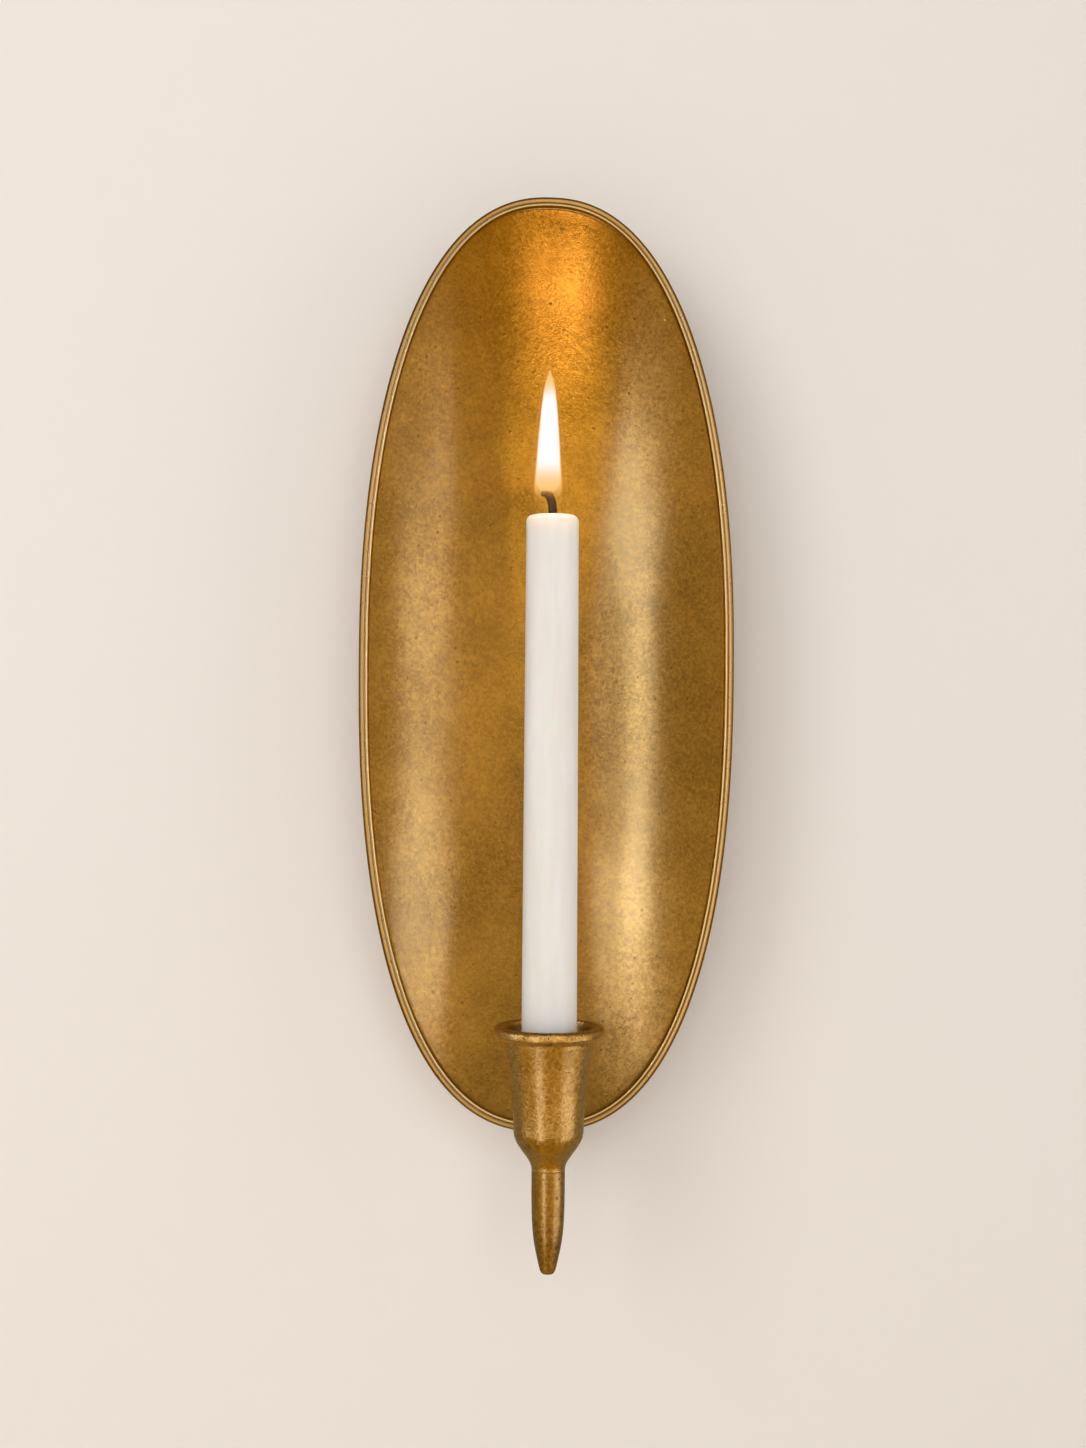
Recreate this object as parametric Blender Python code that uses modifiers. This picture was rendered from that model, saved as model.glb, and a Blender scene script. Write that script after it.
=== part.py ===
"""Wall sconce candle holder: an oval brass reflector dish with a turned candle cup in front of its
lower end, hooked on a folded wall bracket.

Sizes are in metres. The wall is the plane Y = 0, the front faces -Y and +Z is up. The origin is the
middle of the wall bracket's back face. A depth is a distance forward from the wall, so Y = -depth.
"""
import math

import bmesh
import bpy
from mathutils import Matrix

# Fits. Pieces that touch keep the joint line between them, and a seat is shaped by a wider tool.
FIT_GAP = 0.0003
SEAT_TOOL_DEPTH = 0.012
MERGE_DISTANCE = 0.00001

# Reflector dish: sheet brass pressed to a superellipse outline, with an upright collar at its edge.
# Its ends are a little squarer than an ellipse's, whose curve is 2, and the lower one is the squarer.
DISH_WIDTH = 0.161
DISH_HEIGHT = 0.400
DISH_DEPTH = 0.032
DISH_SHEET = 0.0012
DISH_TOP_CURVE = 2.28
DISH_BOTTOM_CURVE = 2.41
BOWL_CURVE = 2.0
DISH_SIDES = 72
DISH_RINGS = 9

# Rim wire: a round wire soldered round the outside of the collar, a little proud of its edge.
RIM_COLLAR = 0.0024
RIM_WIRE_DIAMETER = 0.0024
RIM_WIRE_PROUD = 0.0002
RIM_WIRE_POINTS = 96

# Wall bracket: steel sheet, two screwed ears and a lip that is joggled forward and turned up.
BRACKET_WIDTH = 0.072
BRACKET_HEIGHT = 0.024
BRACKET_SHEET = 0.002
BRACKET_CORNER = 0.006
BRACKET_NECK = 0.002
BRACKET_LIP_WIDTH = 0.026
BRACKET_LIP_CORNER = 0.003
WALL_SCREW_HOLE = 0.0045
WALL_SCREW_EDGE = 0.010

# Hanger strap: steel sheet behind the dish, folded over at the top into a hook for the bracket's lip.
STRAP_WIDTH = 0.030
STRAP_SHEET = 0.002
STRAP_CORNER = 0.005
STRAP_BELOW_CENTRE = 0.060
HOOK_OVERLAP = 0.010
HOOK_ROOM = 0.0035
HOOK_PLAY = 0.001
HOOK_WALL_GAP = 0.0015
FOLD_RADIUS = 0.0008
DISH_DROP = 0.055

# Hanger studs with washers and nuts: brazed on the dish's back, so that its front stays clean.
STUD_DIAMETER = 0.004
STUD_SPACING = 0.050
STUD_FLANGE_DIAMETER = 0.011
STUD_FLANGE = 0.0015
STUD_END = 0.001
STUD_CHAMFER = 0.0005
WASHER_DIAMETER = 0.009
WASHER_SHEET = 0.0008
NUT_FLATS = 0.007
NUT_HEIGHT = 0.0032

# Wall bumpers: rubber buttons pushed into the strap's lower end.
BUMPER_DIAMETER = 0.010
BUMPER_EDGE = 0.007
BUMPER_RISE = 0.008
BUMPER_NECK = 0.0044
BUMPER_BARB = 0.0064
BUMPER_BARB_LENGTH = 0.002
BUMPER_ROUND = 0.001

# Candle and wick.
CANDLE_DIAMETER = 0.0232
CANDLE_TIP_DIAMETER = 0.0218
CANDLE_LENGTH = 0.250
CANDLE_SHOULDER = 0.0025
CANDLE_FOOT_CHAMFER = 0.0008
CANDLE_PLAY = 0.0004
MELT_POOL = 0.0008
WICK_DIAMETER = 0.003
WICK_RISE = 0.006
WICK_BEND = 0.0034
WICK_TURN = math.radians(115)

# Candle cup: a brass casting turned outside and bored inside, with a rolled lip and a rear boss.
CUP_MOUTH = 0.0384
CUP_LIP_WIDTH = 0.0038
CUP_LIP_HEIGHT = 0.0046
CUP_LIP_ROUND = 0.0014
CUP_NECK_STEP = 0.0006
CUP_NECK_FILLET = 0.0016
CUP_WALL = 0.0026
CUP_BODY_HEIGHT = 0.043
CUP_BASE_HEIGHT = 0.0165
CUP_SOCKET_DEPTH = 0.0383
CUP_FLARE = 1.7
CUP_BASE_SWELL = 1.15
CUP_FORWARD = 0.0225
BOSS_DIAMETER = 0.016
BOSS_REACH = 0.021

# Tail finial: a turned drop that screws into the cup's base with its spigot.
TAIL_DIAMETER = 0.0139
TAIL_LENGTH = 0.0434
TAIL_TAPER = 3.4
SPIGOT_DIAMETER = 0.006
SPIGOT_LENGTH = 0.0095
SPIGOT_CHAMFER = 0.0006

# Support arm: a waisted stem between the dish and the boss, drawn up by a screw from behind.
ARM_ABOVE_RIM = 0.020
ARM_BELOW_LIP = 0.029
ARM_WAIST = 0.0125
ARM_FOOT = 0.018
ARM_SCREW_DIAMETER = 0.006
ARM_SCREW_BITE = 0.0065
ARM_SCREW_HEAD = 0.0105
ARM_SCREW_HEAD_HEIGHT = 0.0035
ARM_SCREW_SLOT = 0.0012
ARM_SCREW_SLOT_DEPTH = 0.0014
SADDLE_DIAMETER = 0.018
SADDLE_THIN_EDGE = 0.001
SPRING_WASHER_DIAMETER = 0.0115
SPRING_WASHER_SHEET = 0.0015
SPRING_WASHER_SLIT = 0.0010

# Roundness of turned pieces.
FINE_SIDES = 40
SMALL_SIDES = 24

# Depths, built up from the wall: hook, strap, stud flange, dish, rim, candle axis.
hook_back = HOOK_WALL_GAP
lip_back = hook_back + STRAP_SHEET + HOOK_PLAY
strap_back = lip_back + BRACKET_SHEET + HOOK_PLAY
strap_front = strap_back + STRAP_SHEET
crown_back = strap_front + FIT_GAP + STUD_FLANGE + FIT_GAP
crown_depth = crown_back + DISH_SHEET
collar_depth = crown_depth + DISH_DEPTH
rim_depth = collar_depth + RIM_COLLAR
axis_depth = rim_depth + CUP_FORWARD

# Heights, worked out from the bracket down.
neck_top_height = BRACKET_HEIGHT / 2 + BRACKET_NECK
lip_foot_height = neck_top_height + lip_back
lip_top_height = lip_foot_height + HOOK_ROOM + HOOK_OVERLAP
hook_height = lip_top_height + FIT_GAP
dish_height = -DISH_DROP
strap_bottom = dish_height - STRAP_BELOW_CENTRE
arm_height = dish_height - DISH_HEIGHT / 2 + ARM_ABOVE_RIM
cup_top = arm_height + ARM_BELOW_LIP
cup_waist = cup_top - CUP_BODY_HEIGHT
cup_bottom = cup_waist - CUP_BASE_HEIGHT
socket_floor = cup_top - CUP_SOCKET_DEPTH
seat_height = socket_floor + FIT_GAP

# The dish's inner outline: half its width and height, inside the collar, the wire and their joint.
edge_width = RIM_WIRE_DIAMETER + FIT_GAP + DISH_SHEET
bowl_half_width = DISH_WIDTH / 2 - edge_width
bowl_half_height = DISH_HEIGHT / 2 - edge_width

# Linear colour, roughness and metallic value of each finish.
ANTIQUE_BRASS = ((0.40, 0.21, 0.050), 0.38, 1.0)
CAST_BRASS = ((0.36, 0.19, 0.045), 0.34, 1.0)
ZINC_STEEL = ((0.50, 0.50, 0.48), 0.40, 1.0)
BLACK_RUBBER = ((0.02, 0.02, 0.02), 0.80, 0.0)
CANDLE_WAX = ((0.85, 0.82, 0.76), 0.45, 0.0)
CHARRED_COTTON = ((0.03, 0.02, 0.015), 0.90, 0.0)


def new_collection(name):
    collection = bpy.data.collections.new(name)
    bpy.context.scene.collection.children.link(collection)
    return collection


for old_object in list(bpy.data.objects):
    bpy.data.objects.remove(old_object, do_unlink=True)
parts = new_collection("wall_sconce_candle_holder")
tools = new_collection("cutting_tools")


def motion_empty(name, parent, depth, height):
    """An empty on a joint's axis, which carries the pieces that move together."""
    empty = bpy.data.objects.new(name, None)
    empty.location = (0, -depth, height)
    empty.parent = parent
    parts.objects.link(empty)
    return empty


def add_object(name, data, carrier, finish):
    """Link a piece to its carrier, with a material of its own."""
    colour, roughness, metallic = finish
    material = bpy.data.materials.new(name + "_finish")
    material.use_nodes = True
    shader = material.node_tree.nodes["Principled BSDF"]
    shader.inputs["Base Color"].default_value = (*colour, 1)
    shader.inputs["Roughness"].default_value = roughness
    shader.inputs["Metallic"].default_value = metallic
    data.materials.append(material)
    piece = bpy.data.objects.new(name, data)
    piece.parent = carrier
    parts.objects.link(piece)
    return piece


def add_tool(name, data):
    """Link a cutting tool, which isn't part of the object."""
    tool = bpy.data.objects.new(name, data)
    tool.hide_render = True
    tool.display_type = "WIRE"
    tools.objects.link(tool)
    return tool


def mesh_from(bm, name, smooth=True):
    """Finish a bmesh as a mesh, with its round faces shaded smooth."""
    mesh = bpy.data.meshes.new(name)
    bm.to_mesh(mesh)
    bm.free()
    if smooth:
        mesh.shade_smooth()
        mesh.set_sharp_from_angle(angle=math.radians(35))
    return mesh


def set_place(piece, x, depth, height, forward=False):
    """Place a piece. A forward one has its own Z axis turned to point out from the wall."""
    piece.location = (x, -depth, height)
    if forward:
        piece.rotation_euler = (math.radians(90), 0, 0)


def boolean(piece, tool, operation="DIFFERENCE"):
    modifier = piece.modifiers.new(tool.name, "BOOLEAN")
    modifier.operation = operation
    modifier.object = tool


def profile_mesh(name, points, closed):
    """A profile of (radius, height) points in the XZ plane, open or as a closed loop."""
    bm = bmesh.new()
    corners = [bm.verts.new((radius, 0, height)) for radius, height in points]
    for first, second in zip(corners, corners[1:]):
        bm.edges.new((first, second))
    if closed:
        bm.edges.new((corners[-1], corners[0]))
    return mesh_from(bm, name, smooth=False)


def turn(piece, sides):
    """Revolve a piece's profile round its own Z axis."""
    screw = piece.modifiers.new("Turn", "SCREW")
    screw.axis = "Z"
    screw.steps = sides
    screw.render_steps = sides
    screw.use_merge_vertices = True
    screw.merge_threshold = MERGE_DISTANCE
    screw.use_smooth_shade = True


def turned(name, points, carrier, finish, sides=SMALL_SIDES, closed=False):
    """A turned piece. Its profile runs from the top, down the outer side, to the bottom."""
    piece = add_object(name, profile_mesh(name, points, closed), carrier, finish)
    turn(piece, sides)
    return piece


def turned_tool(name, points, sides=SMALL_SIDES):
    tool = add_tool(name, profile_mesh(name, points, closed=False))
    turn(tool, sides)
    return tool


def drill(name, radius, bottom, top):
    """A round drill along its own Z axis, turned half a side so that its corners miss a turned face's."""
    points = [(0, top), (radius, top), (radius, bottom), (0, bottom)]
    tool = turned_tool(name, points)
    tool.data.transform(Matrix.Rotation(math.pi / SMALL_SIDES, 4, "Z"))
    return tool


def ring_profile(inner, outer, bottom, top):
    return [(inner, top), (outer, top), (outer, bottom), (inner, bottom)]


def arc(centre_x, centre_z, radius, start, end, steps):
    """Points on an arc, with angles in degrees from +X."""
    points = []
    for step in range(steps + 1):
        angle = math.radians(start + (end - start) * step / steps)
        points.append((centre_x + radius * math.cos(angle), centre_z + radius * math.sin(angle)))
    return points


def signed_power(value, power):
    return math.copysign(abs(value) ** power, value)


def outline(angle, offset=0.0):
    """A point of the bowl's superellipse outline, moved out along its normal by the offset."""
    power = 2 / (DISH_TOP_CURVE if math.sin(angle) > 0 else DISH_BOTTOM_CURVE)
    x = bowl_half_width * signed_power(math.cos(angle), power)
    z = bowl_half_height * signed_power(math.sin(angle), power)
    normal_x = signed_power(math.cos(angle), 2 - power) / bowl_half_width
    normal_z = signed_power(math.sin(angle), 2 - power) / bowl_half_height
    length = math.hypot(normal_x, normal_z)
    return x + offset * normal_x / length, z + offset * normal_z / length


def bowl_rise(share):
    """How far the bowl has come forward from its crown, at a share of the way to its edge."""
    return DISH_DEPTH * share ** BOWL_CURVE


# The arm's line: where it meets the dish's two surfaces and how steep the dish is there.
bowl_share = (dish_height - arm_height) / bowl_half_height
arm_seat = crown_depth + bowl_rise(bowl_share)
arm_slope = BOWL_CURVE * bowl_rise(bowl_share) / (bowl_share * bowl_half_height)
arm_back = arm_seat - DISH_SHEET / math.cos(math.atan(arm_slope))
saddle_back = arm_back - FIT_GAP - arm_slope * SADDLE_DIAMETER / 2 - SADDLE_THIN_EDGE
boss_back = axis_depth - BOSS_REACH
screw_hole_radius = ARM_SCREW_DIAMETER / 2 + FIT_GAP


def dish_mesh(name):
    """The dish's inner surface: a bowl's section spun once round and stretched to the oval outline."""
    bm = bmesh.new()
    shares = [ring / DISH_RINGS for ring in range(DISH_RINGS + 1)]
    section = [(share, -bowl_rise(share)) for share in shares]
    section.append((1.0, -DISH_DEPTH - RIM_COLLAR))
    corners = [bm.verts.new((share, y, 0)) for share, y in section]
    edges = [bm.edges.new(pair) for pair in zip(corners, corners[1:])]
    bmesh.ops.spin(
        bm,
        geom=corners + edges,
        cent=(0, 0, 0),
        axis=(0, -1, 0),
        angle=math.tau,
        steps=DISH_SIDES,
    )
    bmesh.ops.remove_doubles(bm, verts=bm.verts, dist=MERGE_DISTANCE)
    for vert in bm.verts:
        share = math.hypot(vert.co.x, vert.co.z)
        x, z = outline(math.atan2(vert.co.z, vert.co.x))
        vert.co.x = share * x
        vert.co.z = share * z
    bmesh.ops.recalc_face_normals(bm, faces=bm.faces)
    front_facing = sum(face.normal.y * face.calc_area() for face in bm.faces) < 0
    if not front_facing:
        bmesh.ops.reverse_faces(bm, faces=bm.faces)
    return mesh_from(bm, name)


def thicken(piece, front, back):
    """Give a sheet its thickness, forward and backward of the surface that was drawn."""
    solidify = piece.modifiers.new("Sheet", "SOLIDIFY")
    solidify.thickness = front + back
    solidify.offset = (front - back) / (front + back)
    solidify.use_even_offset = True
    solidify.use_quality_normals = True


def dish_seat_tool(name, front, back):
    """A thicker copy of the dish, which shapes what is seated on it."""
    tool = add_tool(name, dish_mesh(name))
    set_place(tool, 0, crown_depth, dish_height)
    thicken(tool, front, back)
    return tool


def corner_verts(bm, x, z):
    """The sheet's corners at half width x and height z."""
    return [v for v in bm.verts if math.isclose(abs(v.co.x), x, abs_tol=MERGE_DISTANCE)
            and math.isclose(v.co.z, z, abs_tol=MERGE_DISTANCE)]


def round_corners(bm, x, z, radius):
    bmesh.ops.bevel(
        bm,
        geom=corner_verts(bm, x, z),
        offset=radius,
        offset_type="OFFSET",
        segments=4,
        profile=0.5,
        affect="VERTICES",
    )


def fold_on(bm, edge, y, z):
    """Carry a sheet on from one of its edges, by a step in Y and Z, and return the new edge."""
    made = bmesh.ops.extrude_edge_only(bm, edges=[edge])["geom"]
    bmesh.ops.translate(bm, verts=[v for v in made if isinstance(v, bmesh.types.BMVert)], vec=(0, y, z))
    return next(e for e in made if isinstance(e, bmesh.types.BMEdge)
                and all(v in made for v in e.verts))


def round_folds(bm):
    """Round the folds, which are the edges where two faces meet at an angle."""
    folds = [e for e in bm.edges if len(e.link_faces) == 2 and e.calc_face_angle() > math.radians(20)]
    bmesh.ops.bevel(
        bm,
        geom=folds,
        offset=FOLD_RADIUS,
        offset_type="OFFSET",
        segments=2,
        profile=0.5,
        affect="EDGES",
    )


def hexagon_mesh(name, flats, height):
    bm = bmesh.new()
    across_corners = flats / math.cos(math.radians(30))
    bmesh.ops.create_cone(
        bm,
        cap_ends=True,
        segments=6,
        radius1=across_corners / 2,
        radius2=across_corners / 2,
        depth=height,
    )
    return mesh_from(bm, name, smooth=False)


def box_tool(name, size_x, size_y, size_z):
    bm = bmesh.new()
    bmesh.ops.create_cube(bm, size=1)
    bmesh.ops.scale(bm, vec=(size_x, size_y, size_z), verts=bm.verts)
    return add_tool(name, mesh_from(bm, name, smooth=False))


# The sconce lifts straight up off the bracket, and the candle lifts out of the cup.
sconce_lift = motion_empty("sconce_lift", None, 0, 0)
candle_lift = motion_empty("candle_lift", sconce_lift, axis_depth, seat_height)


def wall_bracket():
    """Ears with a screw hole each, and a lip between them, joggled forward and turned up."""
    bm = bmesh.new()
    bmesh.ops.create_grid(bm, x_segments=3, y_segments=1, size=0.5)
    columns = [-BRACKET_WIDTH / 2, -BRACKET_LIP_WIDTH / 2, BRACKET_LIP_WIDTH / 2, BRACKET_WIDTH / 2]
    for vert in bm.verts:
        column = round((vert.co.x + 0.5) * 3)
        vert.co = (columns[column], 0, vert.co.y * BRACKET_HEIGHT)
    top_edge = next(e for e in bm.edges if all(
        v.co.z > 0 and abs(v.co.x) < BRACKET_WIDTH / 2 - MERGE_DISTANCE for v in e.verts))
    neck_edge = fold_on(bm, top_edge, 0, BRACKET_NECK)
    lip_edge = fold_on(bm, neck_edge, -lip_back, lip_back)
    fold_on(bm, lip_edge, 0, lip_top_height - lip_foot_height)
    for end in (-1, 1):
        round_corners(bm, BRACKET_WIDTH / 2, end * BRACKET_HEIGHT / 2, BRACKET_CORNER)
    round_corners(bm, BRACKET_LIP_WIDTH / 2, lip_top_height, BRACKET_LIP_CORNER)
    round_folds(bm)
    bmesh.ops.recalc_face_normals(bm, faces=bm.faces)
    if sum(face.normal.y for face in bm.faces) > 0:
        bmesh.ops.reverse_faces(bm, faces=bm.faces)
    mesh = mesh_from(bm, "wall_bracket", smooth=False)
    piece = add_object("wall_bracket", mesh, None, ZINC_STEEL)
    thicken(piece, BRACKET_SHEET, 0)
    for side, sign in (("left", -1), ("right", 1)):
        tool = drill("wall_screw_hole_" + side, WALL_SCREW_HOLE / 2, -BRACKET_SHEET, 2 * BRACKET_SHEET)
        set_place(tool, sign * (BRACKET_WIDTH / 2 - WALL_SCREW_EDGE), 0, 0, forward=True)
        boolean(piece, tool)


stud_heights = {"upper": dish_height + STUD_SPACING / 2, "lower": dish_height - STUD_SPACING / 2}
bumper_height = strap_bottom + BUMPER_RISE
bumper_places = {"left": -STRAP_WIDTH / 2 + BUMPER_EDGE, "right": STRAP_WIDTH / 2 - BUMPER_EDGE}


def hanger_strap():
    """A flat strap whose top is folded back to the wall and down, into a hook."""
    bm = bmesh.new()
    bmesh.ops.create_grid(bm, x_segments=1, y_segments=1, size=0.5)
    for vert in bm.verts:
        end = hook_height if vert.co.y > 0 else strap_bottom
        vert.co = (vert.co.x * STRAP_WIDTH, -strap_back, end)
    top_edge = next(e for e in bm.edges if all(v.co.z > strap_bottom + STRAP_CORNER for v in e.verts))
    shelf_edge = fold_on(bm, top_edge, strap_back - hook_back - STRAP_SHEET, 0)
    fold_on(bm, shelf_edge, 0, -HOOK_OVERLAP)
    round_corners(bm, STRAP_WIDTH / 2, strap_bottom, STRAP_CORNER)
    round_folds(bm)
    bmesh.ops.recalc_face_normals(bm, faces=bm.faces)
    body_face = max(bm.faces, key=lambda face: face.calc_area())
    if body_face.normal.y > 0:
        bmesh.ops.reverse_faces(bm, faces=bm.faces)
    mesh = mesh_from(bm, "hanger_strap", smooth=False)
    piece = add_object("hanger_strap", mesh, sconce_lift, ZINC_STEEL)
    thicken(piece, STRAP_SHEET, 0)
    holes = [("stud_hole_" + end, 0, height, STUD_DIAMETER) for end, height in stud_heights.items()]
    holes += [("bumper_hole_" + side, x, bumper_height, BUMPER_NECK) for side, x in bumper_places.items()]
    for name, x, height, diameter in holes:
        tool = drill(name, diameter / 2 + FIT_GAP, -STRAP_SHEET, 2 * STRAP_SHEET)
        set_place(tool, x, strap_back, height, forward=True)
        boolean(piece, tool)


def hanger_stud(end, height, seat_tool):
    """A threaded stud with a flange that is cut to the dish's back, where it is brazed."""
    flange_back = strap_front + FIT_GAP
    tip = strap_back - 2 * FIT_GAP - WASHER_SHEET - NUT_HEIGHT - STUD_END
    stock_front = crown_depth + SEAT_TOOL_DEPTH / 3
    radius = STUD_DIAMETER / 2
    points = [
        (0, stock_front),
        (STUD_FLANGE_DIAMETER / 2, stock_front),
        (STUD_FLANGE_DIAMETER / 2, flange_back),
        (radius, flange_back),
        (radius, tip + STUD_CHAMFER),
        (radius - STUD_CHAMFER, tip),
        (0, tip),
    ]
    stud = turned("hanger_stud_" + end, points, sconce_lift, CAST_BRASS)
    set_place(stud, 0, 0, height, forward=True)
    boolean(stud, seat_tool)


def hanger_washer(end, height):
    top = strap_back - FIT_GAP
    points = ring_profile(STUD_DIAMETER / 2 + FIT_GAP, WASHER_DIAMETER / 2, top - WASHER_SHEET, top)
    washer = turned("hanger_washer_" + end, points, sconce_lift, ZINC_STEEL, closed=True)
    set_place(washer, 0, 0, height, forward=True)


def hanger_nut(end, height):
    top = strap_back - 2 * FIT_GAP - WASHER_SHEET
    name = "hanger_nut_" + end
    nut = add_object(name, hexagon_mesh(name, NUT_FLATS, NUT_HEIGHT), sconce_lift, ZINC_STEEL)
    set_place(nut, 0, top - NUT_HEIGHT / 2, height, forward=True)
    tool = drill("nut_bore_" + end, STUD_DIAMETER / 2 + FIT_GAP, -NUT_HEIGHT, NUT_HEIGHT)
    set_place(tool, 0, top - NUT_HEIGHT / 2, height, forward=True)
    boolean(nut, tool)


def wall_bumper(side, x):
    """A rubber button: its head meets the wall and its barb holds it in the strap."""
    head = BUMPER_DIAMETER / 2
    barb_back = strap_front + FIT_GAP
    points = [
        (0, barb_back + BUMPER_BARB_LENGTH),
        (BUMPER_NECK / 2, barb_back + BUMPER_BARB_LENGTH),
        (BUMPER_BARB / 2, barb_back),
        (BUMPER_NECK / 2, barb_back),
        (BUMPER_NECK / 2, strap_back - FIT_GAP),
        (head, strap_back - FIT_GAP),
        *arc(head - BUMPER_ROUND, FIT_GAP + BUMPER_ROUND, BUMPER_ROUND, 0, -90, 3),
        (0, FIT_GAP),
    ]
    bumper = turned("wall_bumper_" + side, points, sconce_lift, BLACK_RUBBER)
    set_place(bumper, x, 0, bumper_height, forward=True)


def reflector_dish():
    """The oval bowl with its collar, and the hole that the arm's screw goes through."""
    dish = add_object("reflector_dish", dish_mesh("reflector_dish"), sconce_lift, ANTIQUE_BRASS)
    set_place(dish, 0, crown_depth, dish_height)
    thicken(dish, 0, DISH_SHEET)
    tool = drill("arm_screw_hole", screw_hole_radius, crown_back, rim_depth)
    set_place(tool, 0, 0, arm_height, forward=True)
    boolean(dish, tool)


def rim_wire():
    """A round wire that follows the collar's outside all the way round."""
    radius = RIM_WIRE_DIAMETER / 2
    curve = bpy.data.curves.new("rim_wire", "CURVE")
    curve.dimensions = "3D"
    curve.bevel_depth = radius
    curve.bevel_resolution = 2
    spline = curve.splines.new("POLY")
    spline.points.add(RIM_WIRE_POINTS - 1)
    for index, point in enumerate(spline.points):
        x, z = outline(math.tau * index / RIM_WIRE_POINTS, DISH_SHEET + FIT_GAP + radius)
        point.co = (x, 0, z, 1)
    spline.use_cyclic_u = True
    wire = add_object("rim_wire", curve, sconce_lift, ANTIQUE_BRASS)
    set_place(wire, 0, rim_depth + RIM_WIRE_PROUD - radius, dish_height)


def flare(wide, narrow, steps):
    """Shares of the way down and radii of a trumpet flare, from its wide top to its narrow foot."""
    points = []
    for step in range(steps + 1):
        share = step / steps
        points.append((share, narrow + (wide - narrow) * (1 - share) ** CUP_FLARE))
    return points


def cup_base(steps):
    """The rounded base that sweeps in to the tail, as (radius, height) points below the waist."""
    waist = CANDLE_DIAMETER / 2 + CANDLE_PLAY + CUP_WALL
    tail = TAIL_DIAMETER / 2
    points = []
    for step in range(1, steps + 1):
        share = step / steps
        eased = share ** CUP_BASE_SWELL
        blend = eased * eased * (3 - 2 * eased)
        points.append((waist + (tail - waist) * blend, cup_waist - CUP_BASE_HEIGHT * share))
    return points


def candle_cup():
    """The outside is turned, a boss is joined on behind, and the socket and two holes are cut."""
    bore = CANDLE_DIAMETER / 2 + CANDLE_PLAY
    mouth = CUP_MOUTH / 2
    lip = mouth + CUP_LIP_WIDTH
    neck = mouth + CUP_NECK_STEP
    lip_bottom = cup_top - CUP_LIP_HEIGHT
    neck_top = lip_bottom - CUP_NECK_FILLET
    round_x = lip - CUP_LIP_ROUND
    outside = [(0, cup_top)]
    outside += arc(round_x, cup_top - CUP_LIP_ROUND, CUP_LIP_ROUND, 90, 0, 3)
    outside += arc(round_x, lip_bottom + CUP_LIP_ROUND, CUP_LIP_ROUND, 0, -90, 3)
    outside += arc(neck + CUP_NECK_FILLET, neck_top, CUP_NECK_FILLET, 90, 180, 3)[:-1]
    for share, radius in flare(neck, bore + CUP_WALL, 7):
        outside.append((radius, neck_top + (cup_waist - neck_top) * share))
    outside += cup_base(9)
    outside.append((0, cup_bottom))
    cup = turned("candle_cup", outside, sconce_lift, CAST_BRASS, FINE_SIDES)
    set_place(cup, 0, axis_depth, 0)

    boss_radius = BOSS_DIAMETER / 2
    boss = turned_tool("cup_boss", [(0, 0), (boss_radius, 0), (boss_radius, -BOSS_REACH), (0, -BOSS_REACH)])
    set_place(boss, 0, axis_depth, arm_height, forward=True)
    boolean(cup, boss, "UNION")

    above_mouth = cup_top + CUP_LIP_HEIGHT
    inside = [(0, above_mouth), (mouth, above_mouth)]
    for share, radius in flare(mouth, bore, 8):
        inside.append((radius, cup_top - CUP_SOCKET_DEPTH * share))
    inside.append((0, socket_floor))
    socket = turned_tool("cup_socket", inside, FINE_SIDES)
    set_place(socket, 0, axis_depth, 0)
    boolean(cup, socket)

    tap_end = boss_back + ARM_SCREW_BITE + FIT_GAP
    screw_tap = drill("boss_tap", screw_hole_radius, boss_back - BOSS_REACH, tap_end)
    set_place(screw_tap, 0, 0, arm_height, forward=True)
    boolean(cup, screw_tap)

    spigot_hole = SPIGOT_DIAMETER / 2 + FIT_GAP
    tail_tap = drill("tail_tap", spigot_hole, -SPIGOT_LENGTH, SPIGOT_LENGTH + FIT_GAP)
    set_place(tail_tap, 0, axis_depth, cup_bottom)
    boolean(cup, tail_tap)


def tail_finial():
    """A slim drop with a rounded tip, under a spigot that goes up into the cup's base."""
    steps = 16
    radius = TAIL_DIAMETER / 2
    spigot = SPIGOT_DIAMETER / 2
    top = cup_bottom - FIT_GAP
    points = [
        (0, cup_bottom + SPIGOT_LENGTH),
        (spigot - SPIGOT_CHAMFER, cup_bottom + SPIGOT_LENGTH),
        (spigot, cup_bottom + SPIGOT_LENGTH - SPIGOT_CHAMFER),
        (spigot, top),
    ]
    for step in range(steps + 1):
        share = math.sin(math.radians(90) * step / steps)
        points.append((radius * math.sqrt(1 - share ** TAIL_TAPER), top - TAIL_LENGTH * share))
    tail = turned("tail_finial", points, sconce_lift, CAST_BRASS, SMALL_SIDES + SMALL_SIDES // 3)
    set_place(tail, 0, axis_depth, 0)


def support_arm():
    """A waisted stem with a flared foot, cut to sit on the dish's inner surface."""
    steps = 8
    top = boss_back - FIT_GAP
    waist = ARM_WAIST / 2
    points = [(screw_hole_radius, top)]
    for step in range(steps + 1):
        share = step / steps
        end = BOSS_DIAMETER / 2 if share < 0.5 else ARM_FOOT / 2
        points.append((waist + (end - waist) * (2 * share - 1) ** 2, top + (arm_seat - top) * share))
    stock_back = arm_seat - SEAT_TOOL_DEPTH / 2
    points += [(ARM_FOOT / 2, stock_back), (screw_hole_radius, stock_back)]
    arm = turned("support_arm", points, sconce_lift, CAST_BRASS, FINE_SIDES, closed=True)
    set_place(arm, 0, 0, arm_height, forward=True)
    boolean(arm, dish_seat_tool("arm_seat_tool", FIT_GAP, SEAT_TOOL_DEPTH))


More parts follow.
